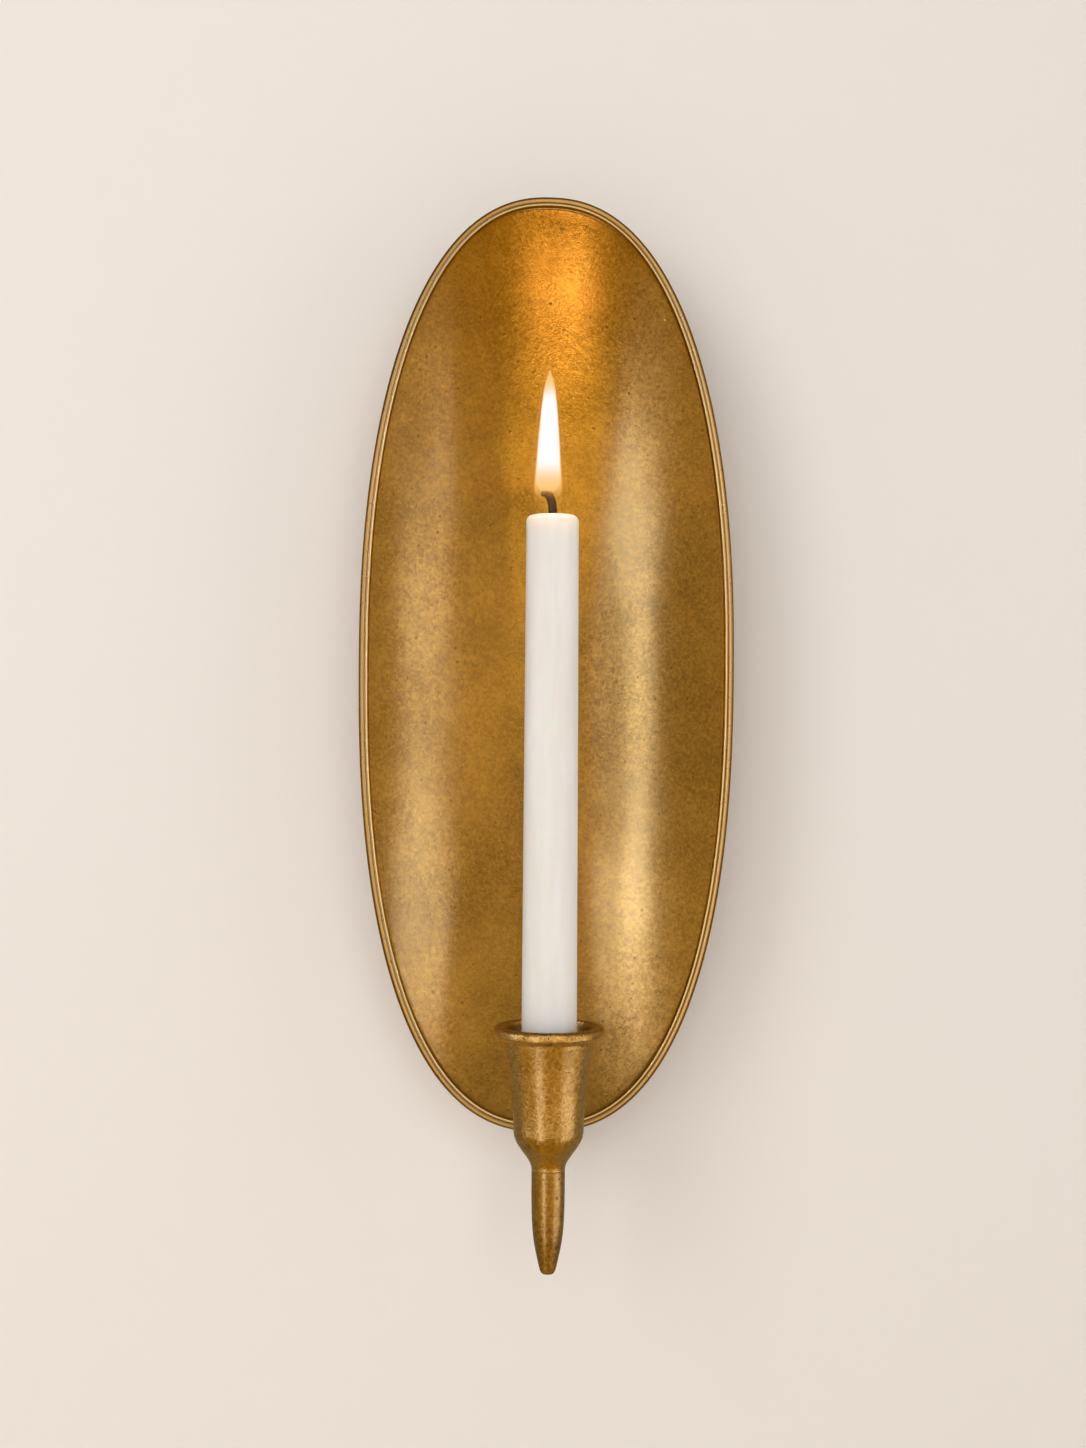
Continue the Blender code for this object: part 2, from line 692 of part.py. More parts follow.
def saddle_washer(seat_tool):
    """A wedge washer: its front fits the dish's sloping back and its back is square to the screw."""
    points = ring_profile(screw_hole_radius, SADDLE_DIAMETER / 2, saddle_back, arm_seat)
    saddle = turned("saddle_washer", points, sconce_lift, CAST_BRASS, FINE_SIDES, closed=True)
    set_place(saddle, 0, 0, arm_height, forward=True)
    boolean(saddle, seat_tool)


def spring_washer():
    top = saddle_back - FIT_GAP
    points = ring_profile(screw_hole_radius, SPRING_WASHER_DIAMETER / 2, top - SPRING_WASHER_SHEET, top)
    washer = turned("spring_washer", points, sconce_lift, ZINC_STEEL, closed=True)
    set_place(washer, 0, 0, arm_height, forward=True)
    tool = box_tool("spring_washer_slit", SPRING_WASHER_DIAMETER, SPRING_WASHER_DIAMETER, SPRING_WASHER_SLIT)
    set_place(tool, SPRING_WASHER_DIAMETER / 2, top - SPRING_WASHER_SHEET / 2, arm_height)
    boolean(washer, tool)


def arm_screw():
    """A slotted pan-head screw from behind the dish into the cup's boss."""
    under_head = saddle_back - 2 * FIT_GAP - SPRING_WASHER_SHEET
    head_back = under_head - ARM_SCREW_HEAD_HEIGHT
    head = ARM_SCREW_HEAD / 2
    shank = ARM_SCREW_DIAMETER / 2
    tip = boss_back + ARM_SCREW_BITE
    rounding = ARM_SCREW_HEAD_HEIGHT / 2
    points = [
        (0, tip),
        (shank - SPIGOT_CHAMFER, tip),
        (shank, tip - SPIGOT_CHAMFER),
        (shank, under_head),
        (head, under_head),
        *arc(head - rounding, head_back + rounding, rounding, 0, -90, 4),
        (0, head_back),
    ]
    screw = turned("arm_screw", points, sconce_lift, CAST_BRASS)
    set_place(screw, 0, 0, arm_height, forward=True)
    tool = box_tool("screw_slot", 2 * ARM_SCREW_HEAD, 2 * ARM_SCREW_SLOT_DEPTH, ARM_SCREW_SLOT)
    set_place(tool, 0, head_back, arm_height)
    boolean(screw, tool)


wick_bore = WICK_DIAMETER / 2 + FIT_GAP


def candle():
    """A slim tapered candle with a rounded shoulder, a shallow melt pool and a wick hole."""
    foot = CANDLE_DIAMETER / 2
    pool_edge = CANDLE_TIP_DIAMETER / 2 - CANDLE_SHOULDER
    points = [(wick_bore, CANDLE_LENGTH - MELT_POOL)]
    points.append(((wick_bore + pool_edge) / 2, CANDLE_LENGTH - MELT_POOL))
    points += arc(pool_edge, CANDLE_LENGTH - CANDLE_SHOULDER, CANDLE_SHOULDER, 90, 0, 4)
    points += [(foot, CANDLE_FOOT_CHAMFER), (foot - CANDLE_FOOT_CHAMFER, 0), (wick_bore, 0)]
    turned("candle", points, candle_lift, CANDLE_WAX, FINE_SIDES, closed=True)


def wick():
    """A braided wick up the middle of the candle, bent over at its burnt end."""
    steps = 6
    bend_height = CANDLE_LENGTH + WICK_RISE - MELT_POOL
    path = [(0, FIT_GAP), (0, CANDLE_LENGTH)]
    for step in range(steps + 1):
        angle = WICK_TURN * step / steps
        path.append((-WICK_BEND * (1 - math.cos(angle)), bend_height + WICK_BEND * math.sin(angle)))
    curve = bpy.data.curves.new("wick", "CURVE")
    curve.dimensions = "3D"
    curve.bevel_depth = WICK_DIAMETER / 2
    curve.bevel_resolution = 2
    curve.use_fill_caps = True
    spline = curve.splines.new("POLY")
    spline.points.add(len(path) - 1)
    for point, (x, z) in zip(spline.points, path):
        point.co = (x, 0, z, 1)
    add_object("wick", curve, candle_lift, CHARRED_COTTON)


wall_bracket()
hanger_strap()
back_seat_tool = dish_seat_tool("back_seat_tool", SEAT_TOOL_DEPTH, DISH_SHEET + FIT_GAP)
for stud_end, stud_height in stud_heights.items():
    hanger_stud(stud_end, stud_height, back_seat_tool)
    hanger_washer(stud_end, stud_height)
    hanger_nut(stud_end, stud_height)
for bumper_side, bumper_x in bumper_places.items():
    wall_bumper(bumper_side, bumper_x)
reflector_dish()
rim_wire()
candle_cup()
tail_finial()
support_arm()
saddle_washer(back_seat_tool)
spring_washer()
arm_screw()
candle()
wick()
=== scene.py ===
import math

import bmesh
import bpy
from mathutils import Matrix, Vector


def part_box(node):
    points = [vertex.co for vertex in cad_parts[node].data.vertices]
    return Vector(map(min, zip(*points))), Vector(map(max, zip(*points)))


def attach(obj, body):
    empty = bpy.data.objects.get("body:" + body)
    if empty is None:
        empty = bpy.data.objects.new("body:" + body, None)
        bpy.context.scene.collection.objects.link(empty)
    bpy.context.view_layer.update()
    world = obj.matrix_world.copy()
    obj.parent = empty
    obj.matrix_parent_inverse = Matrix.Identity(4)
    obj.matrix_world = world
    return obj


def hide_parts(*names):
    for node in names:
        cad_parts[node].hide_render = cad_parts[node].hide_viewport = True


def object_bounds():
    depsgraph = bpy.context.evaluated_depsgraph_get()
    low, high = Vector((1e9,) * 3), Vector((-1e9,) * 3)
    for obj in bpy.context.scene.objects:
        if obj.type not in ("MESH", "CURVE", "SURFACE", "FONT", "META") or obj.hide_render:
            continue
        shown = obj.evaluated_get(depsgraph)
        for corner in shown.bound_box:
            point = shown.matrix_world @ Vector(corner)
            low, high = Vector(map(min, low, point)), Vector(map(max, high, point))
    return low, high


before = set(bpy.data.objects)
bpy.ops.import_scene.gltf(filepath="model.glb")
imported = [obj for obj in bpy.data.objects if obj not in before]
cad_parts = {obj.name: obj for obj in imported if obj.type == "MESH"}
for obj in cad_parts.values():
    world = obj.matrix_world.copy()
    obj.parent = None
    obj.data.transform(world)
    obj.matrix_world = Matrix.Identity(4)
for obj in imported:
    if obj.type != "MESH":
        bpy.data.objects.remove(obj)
cad_low, cad_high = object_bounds()


# Reflector dish. Sheet brass pressed over an oval form into a shallow bowl, with its edge turned up
# into a short collar. The antique finish is rubbed back by hand, so that the patina stays in clouds,
# in the grain and in small pits.
DISH_SHEET = 0.0012
DISH_COLLAR = 0.0024
DISH_FOLD = 0.0006
DISH_TOP_CURVE = 2.28
DISH_BOTTOM_CURVE = 2.41
DISH_EDGE_ROUND = 0.00045
DISH_UNEVENNESS = 0.00010
# Where the painted highlight starts, is full, fades and ends across the sheet's cut edge, as shares of the
# sheet.
HIGHLIGHT_LINE = (0.15, 0.45, 0.65, 0.95)
DISH_RINGS = 60
DISH_SIDES = 288
SAME_PLACE = 0.000001
FOLD_STEPS = 5
DRILL_SIDES = 40
DRILL_DEPTH = 0.05
SCREW_HOLE = 0.0066
ARM_HEIGHT = -0.235

dish_low, dish_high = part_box("reflector_dish")
dish_middle = (dish_low.z + dish_high.z) / 2
bowl_half_width = (dish_high.x - dish_low.x) / 2 - DISH_SHEET
bowl_half_height = (dish_high.z - dish_low.z) / 2 - DISH_SHEET
crown_y = dish_high.y - DISH_SHEET
rim_y = dish_low.y
bowl_sag = crown_y - rim_y - DISH_COLLAR


def new_corner(name):
    """Starts a piece as a single corner at the origin, and leaves it open in edit mode."""
    bpy.ops.object.select_all(action="DESELECT")
    bpy.ops.mesh.primitive_plane_add(size=0.01)
    piece = bpy.context.object
    piece.name = name
    bpy.ops.object.mode_set(mode="EDIT")
    bpy.ops.mesh.select_mode(type="VERT")
    bpy.ops.mesh.merge(type="CENTER")
    return piece


def draw_line(points):
    """Carries the open piece's corner along a line of points by extruding it."""
    bpy.ops.transform.translate(value=points[0])
    for start, end in zip(points, points[1:]):
        step = [b - a for a, b in zip(start, end)]
        bpy.ops.mesh.extrude_region_move(TRANSFORM_OT_translate={"value": step})


def close_up():
    """Joins the corners of the open piece that meet, turns its faces outward and ends the editing."""
    bpy.ops.mesh.select_all(action="SELECT")
    bpy.ops.mesh.remove_doubles(threshold=SAME_PLACE)
    bpy.ops.mesh.normals_make_consistent(inside=False)
    bpy.ops.object.mode_set(mode="OBJECT")


def spun(name, section, axis, sides):
    """A section of points, spun once round an axis through the origin and closed."""
    piece = new_corner(name)
    draw_line(section)
    bpy.ops.mesh.select_all(action="SELECT")
    bpy.ops.mesh.spin(steps=sides, angle=math.tau, center=(0, 0, 0), axis=axis)
    close_up()
    return piece


def make_active(piece):
    """Makes a piece the only one that is selected, and the one that operators act on."""
    bpy.ops.object.select_all(action="DESELECT")
    piece.select_set(True)
    bpy.context.view_layer.objects.active = piece


def shape_with(piece, kind, **settings):
    """Gives a piece a modifier with these settings, and applies it."""
    make_active(piece)
    modifier = piece.modifiers.new(kind.title(), kind)
    for setting, value in settings.items():
        setattr(modifier, setting, value)
    bpy.ops.object.modifier_apply(modifier=modifier.name)


def smooth(piece, angle=35):
    """Shades a piece smooth, with an edge wherever its faces turn by more than the angle."""
    make_active(piece)
    bpy.ops.object.shade_smooth_by_angle(angle=math.radians(angle))


def round_edges(piece, width, angle, segments=2):
    """Rounds the edges of a piece at which its faces turn by more than the angle."""
    shape_with(piece, "BEVEL", width=width, segments=segments, limit_method="ANGLE",
               angle_limit=math.radians(angle))


def flip(piece):
    """Turns all faces of a piece round."""
    make_active(piece)
    bpy.ops.object.mode_set(mode="EDIT")
    bpy.ops.mesh.select_all(action="SELECT")
    bpy.ops.mesh.flip_normals()
    bpy.ops.object.mode_set(mode="OBJECT")


def combine(piece, tool, operation="DIFFERENCE"):
    """Cuts a tool out of a piece, or keeps what they share or both, and throws the tool away."""
    shape_with(piece, "BOOLEAN", object=tool, operation=operation, solver="EXACT")
    bpy.data.objects.remove(tool)


def drill(piece, x, y, z, diameter, depth):
    """Drills a round hole through a piece, square to the wall."""
    bpy.ops.mesh.primitive_cylinder_add(vertices=DRILL_SIDES, radius=diameter / 2, depth=depth,
                                        location=(x, y, z), rotation=(math.radians(90), 0, 0))
    combine(piece, bpy.context.object)


def signed_power(value, power):
    return math.copysign(abs(value) ** power, value)


def oval(angle, offset=0.0):
    """A point of the bowl's edge, moved out along its normal by the offset."""
    power = 2 / (DISH_TOP_CURVE if math.sin(angle) > 0 else DISH_BOTTOM_CURVE)
    x = bowl_half_width * signed_power(math.cos(angle), power)
    z = bowl_half_height * signed_power(math.sin(angle), power)
    normal_x = signed_power(math.cos(angle), 2 - power) / bowl_half_width
    normal_z = signed_power(math.sin(angle), 2 - power) / bowl_half_height
    length = math.hypot(normal_x, normal_z)
    return x + offset * normal_x / length, z + offset * normal_z / length


def unevenness(x, z):
    """The slow waves that pressing and hand finishing leave in the sheet."""
    wide = math.sin(61 * x + 23 * z + 0.6) * math.sin(37 * z - 31 * x)
    narrow = math.sin(113 * z + 71 * x + 1.9) * math.sin(97 * x - 53 * z)
    return DISH_UNEVENNESS * (wide + 0.5 * narrow)


def bowl_share(x, z):
    """How far out a place lies in the oval, from 0 in its middle to 1 at the bowl's edge."""
    curve = DISH_TOP_CURVE if z > 0 else DISH_BOTTOM_CURVE
    return (abs(x / bowl_half_width) ** curve + abs(z / bowl_half_height) ** curve) ** (1 / curve)


def bowl_y(x, z):
    """The Y of the bowl's inner surface at a place, given as X and Z from the middle of the oval."""
    share = bowl_share(x, z)
    return crown_y - bowl_sag * share ** 2 + (1 - min(1, share) ** 6) * unevenness(x, z)


def outward(x, z):
    """How fast the bowl's share grows outward near its edge, at a place from the middle of the oval."""
    power = (DISH_TOP_CURVE if z > 0 else DISH_BOTTOM_CURVE) - 1
    return Vector((signed_power(x / bowl_half_width, power) / bowl_half_width, 0,
                   signed_power(z / bowl_half_height, power) / bowl_half_height))


def bowl_section():
    """The bowl from its crown to its edge as (share, y), with the fold and the collar."""
    fold_share = 1 - DISH_FOLD / bowl_half_width
    section = []
    for ring in range(DISH_RINGS + 1):
        share = fold_share * ring / DISH_RINGS
        section.append((share, -bowl_sag * share ** 2))
    start = section[-1]
    end = (1.0, -bowl_sag - DISH_FOLD)
    for step in range(1, FOLD_STEPS + 1):
        t = step / FOLD_STEPS
        corner = (1.0, -bowl_sag)
        weights = ((1 - t) ** 2, 2 * t * (1 - t), t ** 2)
        section.append(tuple(sum(w * p[i] for w, p in zip(weights, (start, corner, end))) for i in (0, 1)))
    section.append((1.0, -bowl_sag - DISH_COLLAR))
    return [(share, y, 0) for share, y in section]


def reflector_dish():
    dish = spun("reflector_dish_sheet", bowl_section(), (0, 1, 0), DISH_SIDES)
    for corner in dish.data.vertices:
        share = math.hypot(corner.co.x, corner.co.z)
        x, z = oval(math.atan2(corner.co.z, corner.co.x))
        flat = 1 - min(1, share) ** 6
        corner.co = (share * x, crown_y + corner.co.y + flat * unevenness(share * x, share * z),
                     dish_middle + share * z)
    if sum(face.normal.y * face.area for face in dish.data.polygons) > 0:
        flip(dish)
    shape_with(dish, "SOLIDIFY", thickness=DISH_SHEET, offset=-1, use_even_offset=True)
    round_edges(dish, DISH_EDGE_ROUND, 60, segments=3)
    drill(dish, 0, crown_y, ARM_HEIGHT, SCREW_HOLE, DRILL_DEPTH)
    smooth(dish)
    return dish


def ease(low, high, value):
    """Goes smoothly from 0 at low to 1 at high."""
    share = min(1, max(0, (value - low) / (high - low)))
    return share * share * (3 - 2 * share)


def mark_painted_highlight_edge(dish):
    """Marks a thin line along the middle of the sheet's cut edge for a painted highlight: a pale, dull
    colour that stands in for the gleam along the edge.
    """
    highlight_mark = dish.data.attributes.new("painted_highlight_edge", "FLOAT", "POINT")
    start, full, fade, end = (share * DISH_SHEET for share in HIGHLIGHT_LINE)
    for corner, mark in zip(dish.data.vertices, highlight_mark.data):
        if corner.co.y < rim_y + DISH_EDGE_ROUND / 2:
            place = (corner.co.x, corner.co.z - dish_middle)
            out = (bowl_share(*place) - 1) / outward(*place).length
            mark.value = ease(start, full, out) * (1 - ease(fade, end, out))


def node(tree, kind, inputs=None, **settings):
    """Adds a shader node. Its inputs are values, or other nodes' outputs to link."""
    made = tree.nodes.new(kind)
    for setting, value in settings.items():
        setattr(made, setting, value)
    for socket, value in (inputs or {}).items():
        if isinstance(value, bpy.types.NodeSocket):
            tree.links.new(value, made.inputs[socket])
        else:
            made.inputs[socket].default_value = value
    return made


def new_material(name):
    """A material with its nodes and its shader."""
    material = bpy.data.materials.new(name)
    material.use_nodes = True
    return material, material.node_tree, material.node_tree.nodes["Principled BSDF"]


def object_place(tree):
    return node(tree, "ShaderNodeTexCoord").outputs["Object"]


def noise(tree, place, scale, detail, roughness=0.55, distortion=0.0):
    made = node(tree, "ShaderNodeTexNoise", {"Vector": place, "Scale": scale, "Detail": detail,
                                             "Roughness": roughness, "Distortion": distortion})
    return made.outputs["Fac"]


def between(tree, value, low, high, start=0.0, end=1.0):
    """Stretches the part of a value that lies between low and high over start to end."""
    made = node(tree, "ShaderNodeMapRange", {
        "Value": value, "From Min": low, "From Max": high, "To Min": start, "To Max": end})
    return made.outputs["Result"]


def maths(tree, operation, first, second):
    made = node(tree, "ShaderNodeMath", {0: first, 1: second}, operation=operation)
    return made.outputs["Value"]


def weighted(tree, *parts):
    """Adds up values, each given with its weight."""
    total = 0.0
    for value, weight in parts:
        total = maths(tree, "ADD", maths(tree, "MULTIPLY", value, weight), total)
    return total


def roughen(tree, shader, height, depth):
    """Gives a finish a fine relief that is this deep."""
    bump = node(tree, "ShaderNodeBump", {"Height": height, "Strength": 1.0, "Distance": depth})
    tree.links.new(bump.outputs["Normal"], shader.inputs["Normal"])


def blend(tree, share, first, second):
    """Mixes two colours by a share."""
    made = node(tree, "ShaderNodeMix", data_type="RGBA")
    for socket, value in zip((made.inputs[0], made.inputs[6], made.inputs[7]), (share, first, second)):
        if isinstance(value, bpy.types.NodeSocket):
            tree.links.new(value, socket)
        else:
            socket.default_value = value
    return made.outputs[2]


def brass_finish(name, rubbed, patina, pit_scale, grain_depth, roughness):
    """Antique brass: clouds of patina, a fine grain that breaks up the gloss, and dark pits."""
    material, tree, shader = new_material(name)
    place = object_place(tree)
    clouds = noise(tree, place, 46, 7, 0.66)
    blotches = noise(tree, place, 190, 5, 0.6, 1.2)
    grain = noise(tree, place, 640, 3, 0.6, 0.9)
    pits = node(tree, "ShaderNodeTexVoronoi", {"Vector": place, "Scale": pit_scale}).outputs["Distance"]
    pits = maths(tree, "MULTIPLY", between(tree, pits, 0.06, 0.19, 1, 0),
                 between(tree, blotches, 0.48, 0.58))
    mottle = weighted(tree, (clouds, 0.34), (blotches, 0.20), (grain, 0.46))
    tone = blend(tree, between(tree, mottle, 0.40, 0.60), (*patina, 1), (*rubbed, 1))
    dark = tuple(0.35 * part for part in patina)
    colour = blend(tree, maths(tree, "MULTIPLY", pits, 0.6), tone, (*dark, 1))
    gloss = weighted(tree, (clouds, 0.06), (grain, 0.18))
    tree.links.new(colour, shader.inputs["Base Color"])
    tree.links.new(maths(tree, "ADD", gloss, roughness - 0.12), shader.inputs["Roughness"])
    roughen(tree, shader, weighted(tree, (grain, 1), (blotches, 0.3), (pits, -1.2)), grain_depth)
    shader.inputs["Metallic"].default_value = 1.0
    shader.inputs["Coat Weight"].default_value = 1.0
    shader.inputs["Coat Roughness"].default_value = 0.185
    return material


def paint_mark_colour(material, mark, colour, metal):
    """Blends a finish to a colour and a metalness where a mark on the mesh is 1. It paints a highlight on
    the dish's edge, rubbed brass and painted shade on the rim wire, and painted shade in the cup's socket.
    """
    tree = material.node_tree
    share = node(tree, "ShaderNodeAttribute", attribute_name=mark).outputs["Fac"]
    shader = tree.nodes["Principled BSDF"]
    finish = shader.inputs["Base Color"].links[0].from_socket
    tree.links.new(blend(tree, share, finish, (*colour, 1)), shader.inputs["Base Color"])
    tree.links.new(between(tree, share, 0, 1, 1, metal), shader.inputs["Metallic"])


dish = reflector_dish()
mark_painted_highlight_edge(dish)
sheet_finish = brass_finish("antique_brass_sheet", rubbed=(0.66, 0.424, 0.146), patina=(0.43, 0.257, 0.077),
                            pit_scale=210, grain_depth=0.00005, roughness=0.168)
# The pale, half metallic colour on the marked edge line is a painted highlight.
paint_mark_colour(sheet_finish, "painted_highlight_edge", (0.93, 0.77, 0.45), metal=0.55)
dish.data.materials.append(sheet_finish)
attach(dish, "sconce")
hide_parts("reflector_dish")


# Rim wire. A round brass wire bent to the oval and soldered round the outside of the collar, a little
# proud of the sheet's edge, which leaves a dark crease between the two.
wire_low, wire_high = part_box("rim_wire")
WIRE_POINTS = 360
WIRE_CREASE = 0.00015
WIRE_FULLNESS = 1.08
wire_radius = (wire_high.y - wire_low.y) / 2 * WIRE_FULLNESS


def mark_wire_rubbed_and_shaded(wire):
    """Marks the wire's front and inner side, which are rubbed to paler brass. Its outer side, towards the
    wall, keeps the wire's dark colour as painted shade.
    """
    worn = wire.data.attributes.new("worn", "FLOAT", "POINT")
    for corner, mark in zip(wire.data.vertices, worn.data):
        away = outward(corner.co.x, corner.co.z - dish_middle).normalized()
        mark.value = ease(0.1, 0.45, -corner.normal.y) * (1 - ease(-0.1, 0.35, corner.normal.dot(away)))


def rim_wire():
    bpy.ops.mesh.primitive_circle_add(vertices=WIRE_POINTS, radius=1)
    wire = bpy.context.object
    wire.name = "rim_wire_bead"
    for index, corner in enumerate(wire.data.vertices):
        x, z = oval(math.tau * index / WIRE_POINTS, DISH_SHEET + WIRE_CREASE + wire_radius)
        corner.co = (x, (wire_low.y + wire_high.y) / 2, dish_middle + z)
    bpy.ops.object.convert(target="CURVE")
    wire = bpy.context.object
    wire.data.dimensions = "3D"
    wire.data.bevel_depth = wire_radius
    wire.data.bevel_resolution = 5
    bpy.ops.object.convert(target="MESH")
    wire = bpy.context.object
    mark_wire_rubbed_and_shaded(wire)
    smooth(wire)
    return wire


wire = rim_wire()
wire.data.materials.clear()
# The wire's very dark base colour is painted shade on its outer side. The marked front and inner side get
# rubbed brass.
wire_finish = brass_finish("antique_brass_wire", rubbed=(0.32, 0.18, 0.06), patina=(0.22, 0.12, 0.04),
                           pit_scale=150, grain_depth=0.00003, roughness=0.30)
paint_mark_colour(wire_finish, "worn", (0.77, 0.535, 0.24), metal=0.8)
wire.data.materials.append(wire_finish)
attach(wire, "sconce")
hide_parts("rim_wire")


# Hanger studs. Two short brass studs with a flange, brazed on the dish's back so that its front stays
# clean. Their threaded ends go through the strap.
STUD_DIAMETER = 0.004
STUD_THREAD_PITCH = 0.0007
STUD_THREAD_DEPTH = 0.00028
STUD_CHAMFER = 0.0005
STUD_FLANGE_ROUND = 0.0003
STUD_BRAZE = 0.0006
JOINT_LINE = 0.0003
TOUCH = 0.00003
TURNED_SIDES = 64


def arc(centre_x, centre_z, radius, start, end, steps):
    """Points on an arc, with angles in degrees from +X."""
    points = []
    for step in range(steps + 1):
        angle = math.radians(start + (end - start) * step / steps)
        points.append((centre_x + radius * math.cos(angle), centre_z + radius * math.sin(angle)))
    return points


def turned(name, profile, sides=TURNED_SIDES):
    """A turned piece, from (radius, height) points that run down its side, round the Z axis."""
    return spun(name, [(radius, 0, height) for radius, height in profile], (0, 0, 1), sides)


def put(piece, x, y, z, forward=False):
    """Puts a piece in its place, with its own Z axis pointing out from the wall if it is a forward one."""
    make_active(piece)
    piece.location = (x, y, z)
    if forward:
        piece.rotation_euler = (math.radians(90), 0, 0)
    bpy.ops.object.transform_apply(location=True, rotation=True, scale=True)


def thread(radius, start, end, pitch, depth):
    """The side of a screw thread from one height to another, drawn as close rings."""
    turns = max(1, round(abs(end - start) / pitch))
    step = (end - start) / turns
    points = [(radius - depth, start)]
    for turn in range(turns):
        middle = start + step * (turn + 0.5)
        points += [(radius, middle - 0.1 * step), (radius, middle + 0.1 * step),
                   (radius - depth, start + step * (turn + 1))]
    return points


def dish_back_y(x, z):
    """The Y of the dish's back at a place in the world. The bowl's slope is taken along Z alone."""
    step = 0.0001
    up = z - dish_middle
    slope = (bowl_y(x, up + step) - bowl_y(x, up - step)) / (2 * step)
    return bowl_y(x, up) + DISH_SHEET * math.sqrt(1 + slope ** 2)


def hanger_stud(node_name):
    low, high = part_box(node_name)
    height = (low.z + high.z) / 2
    flange = (high.x - low.x) / 2
    flange_back = JOINT_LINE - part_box("hanger_strap")[0].y
    seat = -dish_back_y(0, height)
    tip = -high.y
    radius = STUD_DIAMETER / 2
    profile = [(0, seat), (flange * 0.5, seat), (flange + STUD_BRAZE, seat)]
    profile += arc(flange + STUD_BRAZE, seat - STUD_BRAZE, STUD_BRAZE, 90, 180, 4)[1:]
    profile += arc(flange - STUD_FLANGE_ROUND, flange_back + STUD_FLANGE_ROUND, STUD_FLANGE_ROUND,
                   0, -90, 4)
    profile += thread(radius, flange_back, tip + STUD_CHAMFER, STUD_THREAD_PITCH, STUD_THREAD_DEPTH)
    profile += [(radius - STUD_CHAMFER, tip), (0, tip)]
    stud = turned(node_name + "_brazed", profile)
    put(stud, 0, 0, height, forward=True)
    for corner in stud.data.vertices:
        if corner.co.y < -seat + TOUCH:
            corner.co.y = dish_back_y(corner.co.x, corner.co.z) + TOUCH
    smooth(stud)
    return stud


stud_finish = brass_finish("cast_brass_stud", rubbed=(0.60, 0.39, 0.15), patina=(0.42, 0.25, 0.08),
                           pit_scale=420, grain_depth=0.00004, roughness=0.34)
for node_name in ("hanger_stud_upper", "hanger_stud_lower"):
    stud = hanger_stud(node_name)
    stud.data.materials.append(stud_finish)
    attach(stud, "sconce")
    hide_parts(node_name)


# Hanger strap. A strip of zinc plated steel sheet behind the dish, pierced for the studs and the bumpers,
# with its top folded back and down into a hook for the bracket's lip.
STRAP_SHEET = 0.002
STRAP_CORNER = 0.005
STRAP_FOLD = 0.0008
STRAP_EDGE_ROUND = 0.00022
HOOK_OVERLAP = 0.010
STUD_HOLE = 0.0046
BUMPER_HOLE = 0.0050
BUMPER_X = 0.008
BUMPER_RISE = 0.008
STRAP_DRILL = 0.012


def pick(piece, kind, test):
    """Selects the open piece's corners, edges or faces that pass a test, and nothing else."""
    bpy.ops.mesh.select_mode(type=kind)
    bpy.ops.mesh.select_all(action="DESELECT")
    open_mesh = bmesh.from_edit_mesh(piece.data)
    for item in {"VERT": open_mesh.verts, "EDGE": open_mesh.edges, "FACE": open_mesh.faces}[kind]:
        if test(item):
            item.select_set(True)
    bmesh.update_edit_mesh(piece.data)


def is_fold(edge):
    return len(edge.link_faces) == 2 and edge.calc_face_angle() > math.radians(20)


def fold_sheet(piece, fold, sheet):
    """Rounds a sheet's folds, gives it its thickness towards the side its faces look to, and closes it."""
    pick(piece, "EDGE", is_fold)
    bpy.ops.mesh.bevel(offset=fold, segments=5, affect="EDGES")
    bpy.ops.mesh.select_all(action="SELECT")
    bpy.ops.mesh.normals_make_consistent(inside=False)
    bpy.ops.object.mode_set(mode="OBJECT")
    widest = max(piece.data.polygons, key=lambda face: face.area)
    if widest.normal.y > 0:
        flip(piece)
    shape_with(piece, "SOLIDIFY", thickness=sheet, offset=1, use_even_offset=True)


def smooth_flat(piece, angle=35):
    """Shades a piece smooth, but leaves its flat faces flat right up to their rounded edges."""
    smooth(piece, angle)
    shape_with(piece, "WEIGHTED_NORMAL", keep_sharp=True)


def hanger_strap():
    low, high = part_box("hanger_strap")
    half = (high.x - low.x) / 2
    strap_back = low.y + STRAP_SHEET
    hook_inside = high.z - STRAP_SHEET
    hook_front = high.y - STRAP_SHEET
    strap = new_corner("hanger_strap_folded")
    draw_line([(-half, strap_back, low.z), (-half, strap_back, hook_inside),
               (-half, hook_front, hook_inside), (-half, hook_front, hook_inside - HOOK_OVERLAP)])
    bpy.ops.mesh.select_all(action="SELECT")
    bpy.ops.mesh.extrude_region_move(TRANSFORM_OT_translate={"value": (2 * half, 0, 0)})
    pick(strap, "VERT", lambda corner: corner.co.z < low.z + 0.001)
    bpy.ops.mesh.bevel(offset=STRAP_CORNER, segments=8, affect="VERTICES")
    fold_sheet(strap, STRAP_FOLD, STRAP_SHEET)
    for node_name in ("hanger_stud_upper", "hanger_stud_lower"):
        stud_low, stud_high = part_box(node_name)
        drill(strap, 0, strap_back, (stud_low.z + stud_high.z) / 2, STUD_HOLE, STRAP_DRILL)
    for x in (-BUMPER_X, BUMPER_X):
        drill(strap, x, strap_back, low.z + BUMPER_RISE, BUMPER_HOLE, STRAP_DRILL)
    round_edges(strap, STRAP_EDGE_ROUND, 50)
    smooth_flat(strap)
    return strap


def stretched(tree, place, share, turn=0.0):
    """Draws a pattern out along Z, or along X when it is turned by a right angle."""
    return node(tree, "ShaderNodeMapping", {
        "Vector": place, "Rotation": (0, turn, 0), "Scale": (1, 1, share)}).outputs["Vector"]


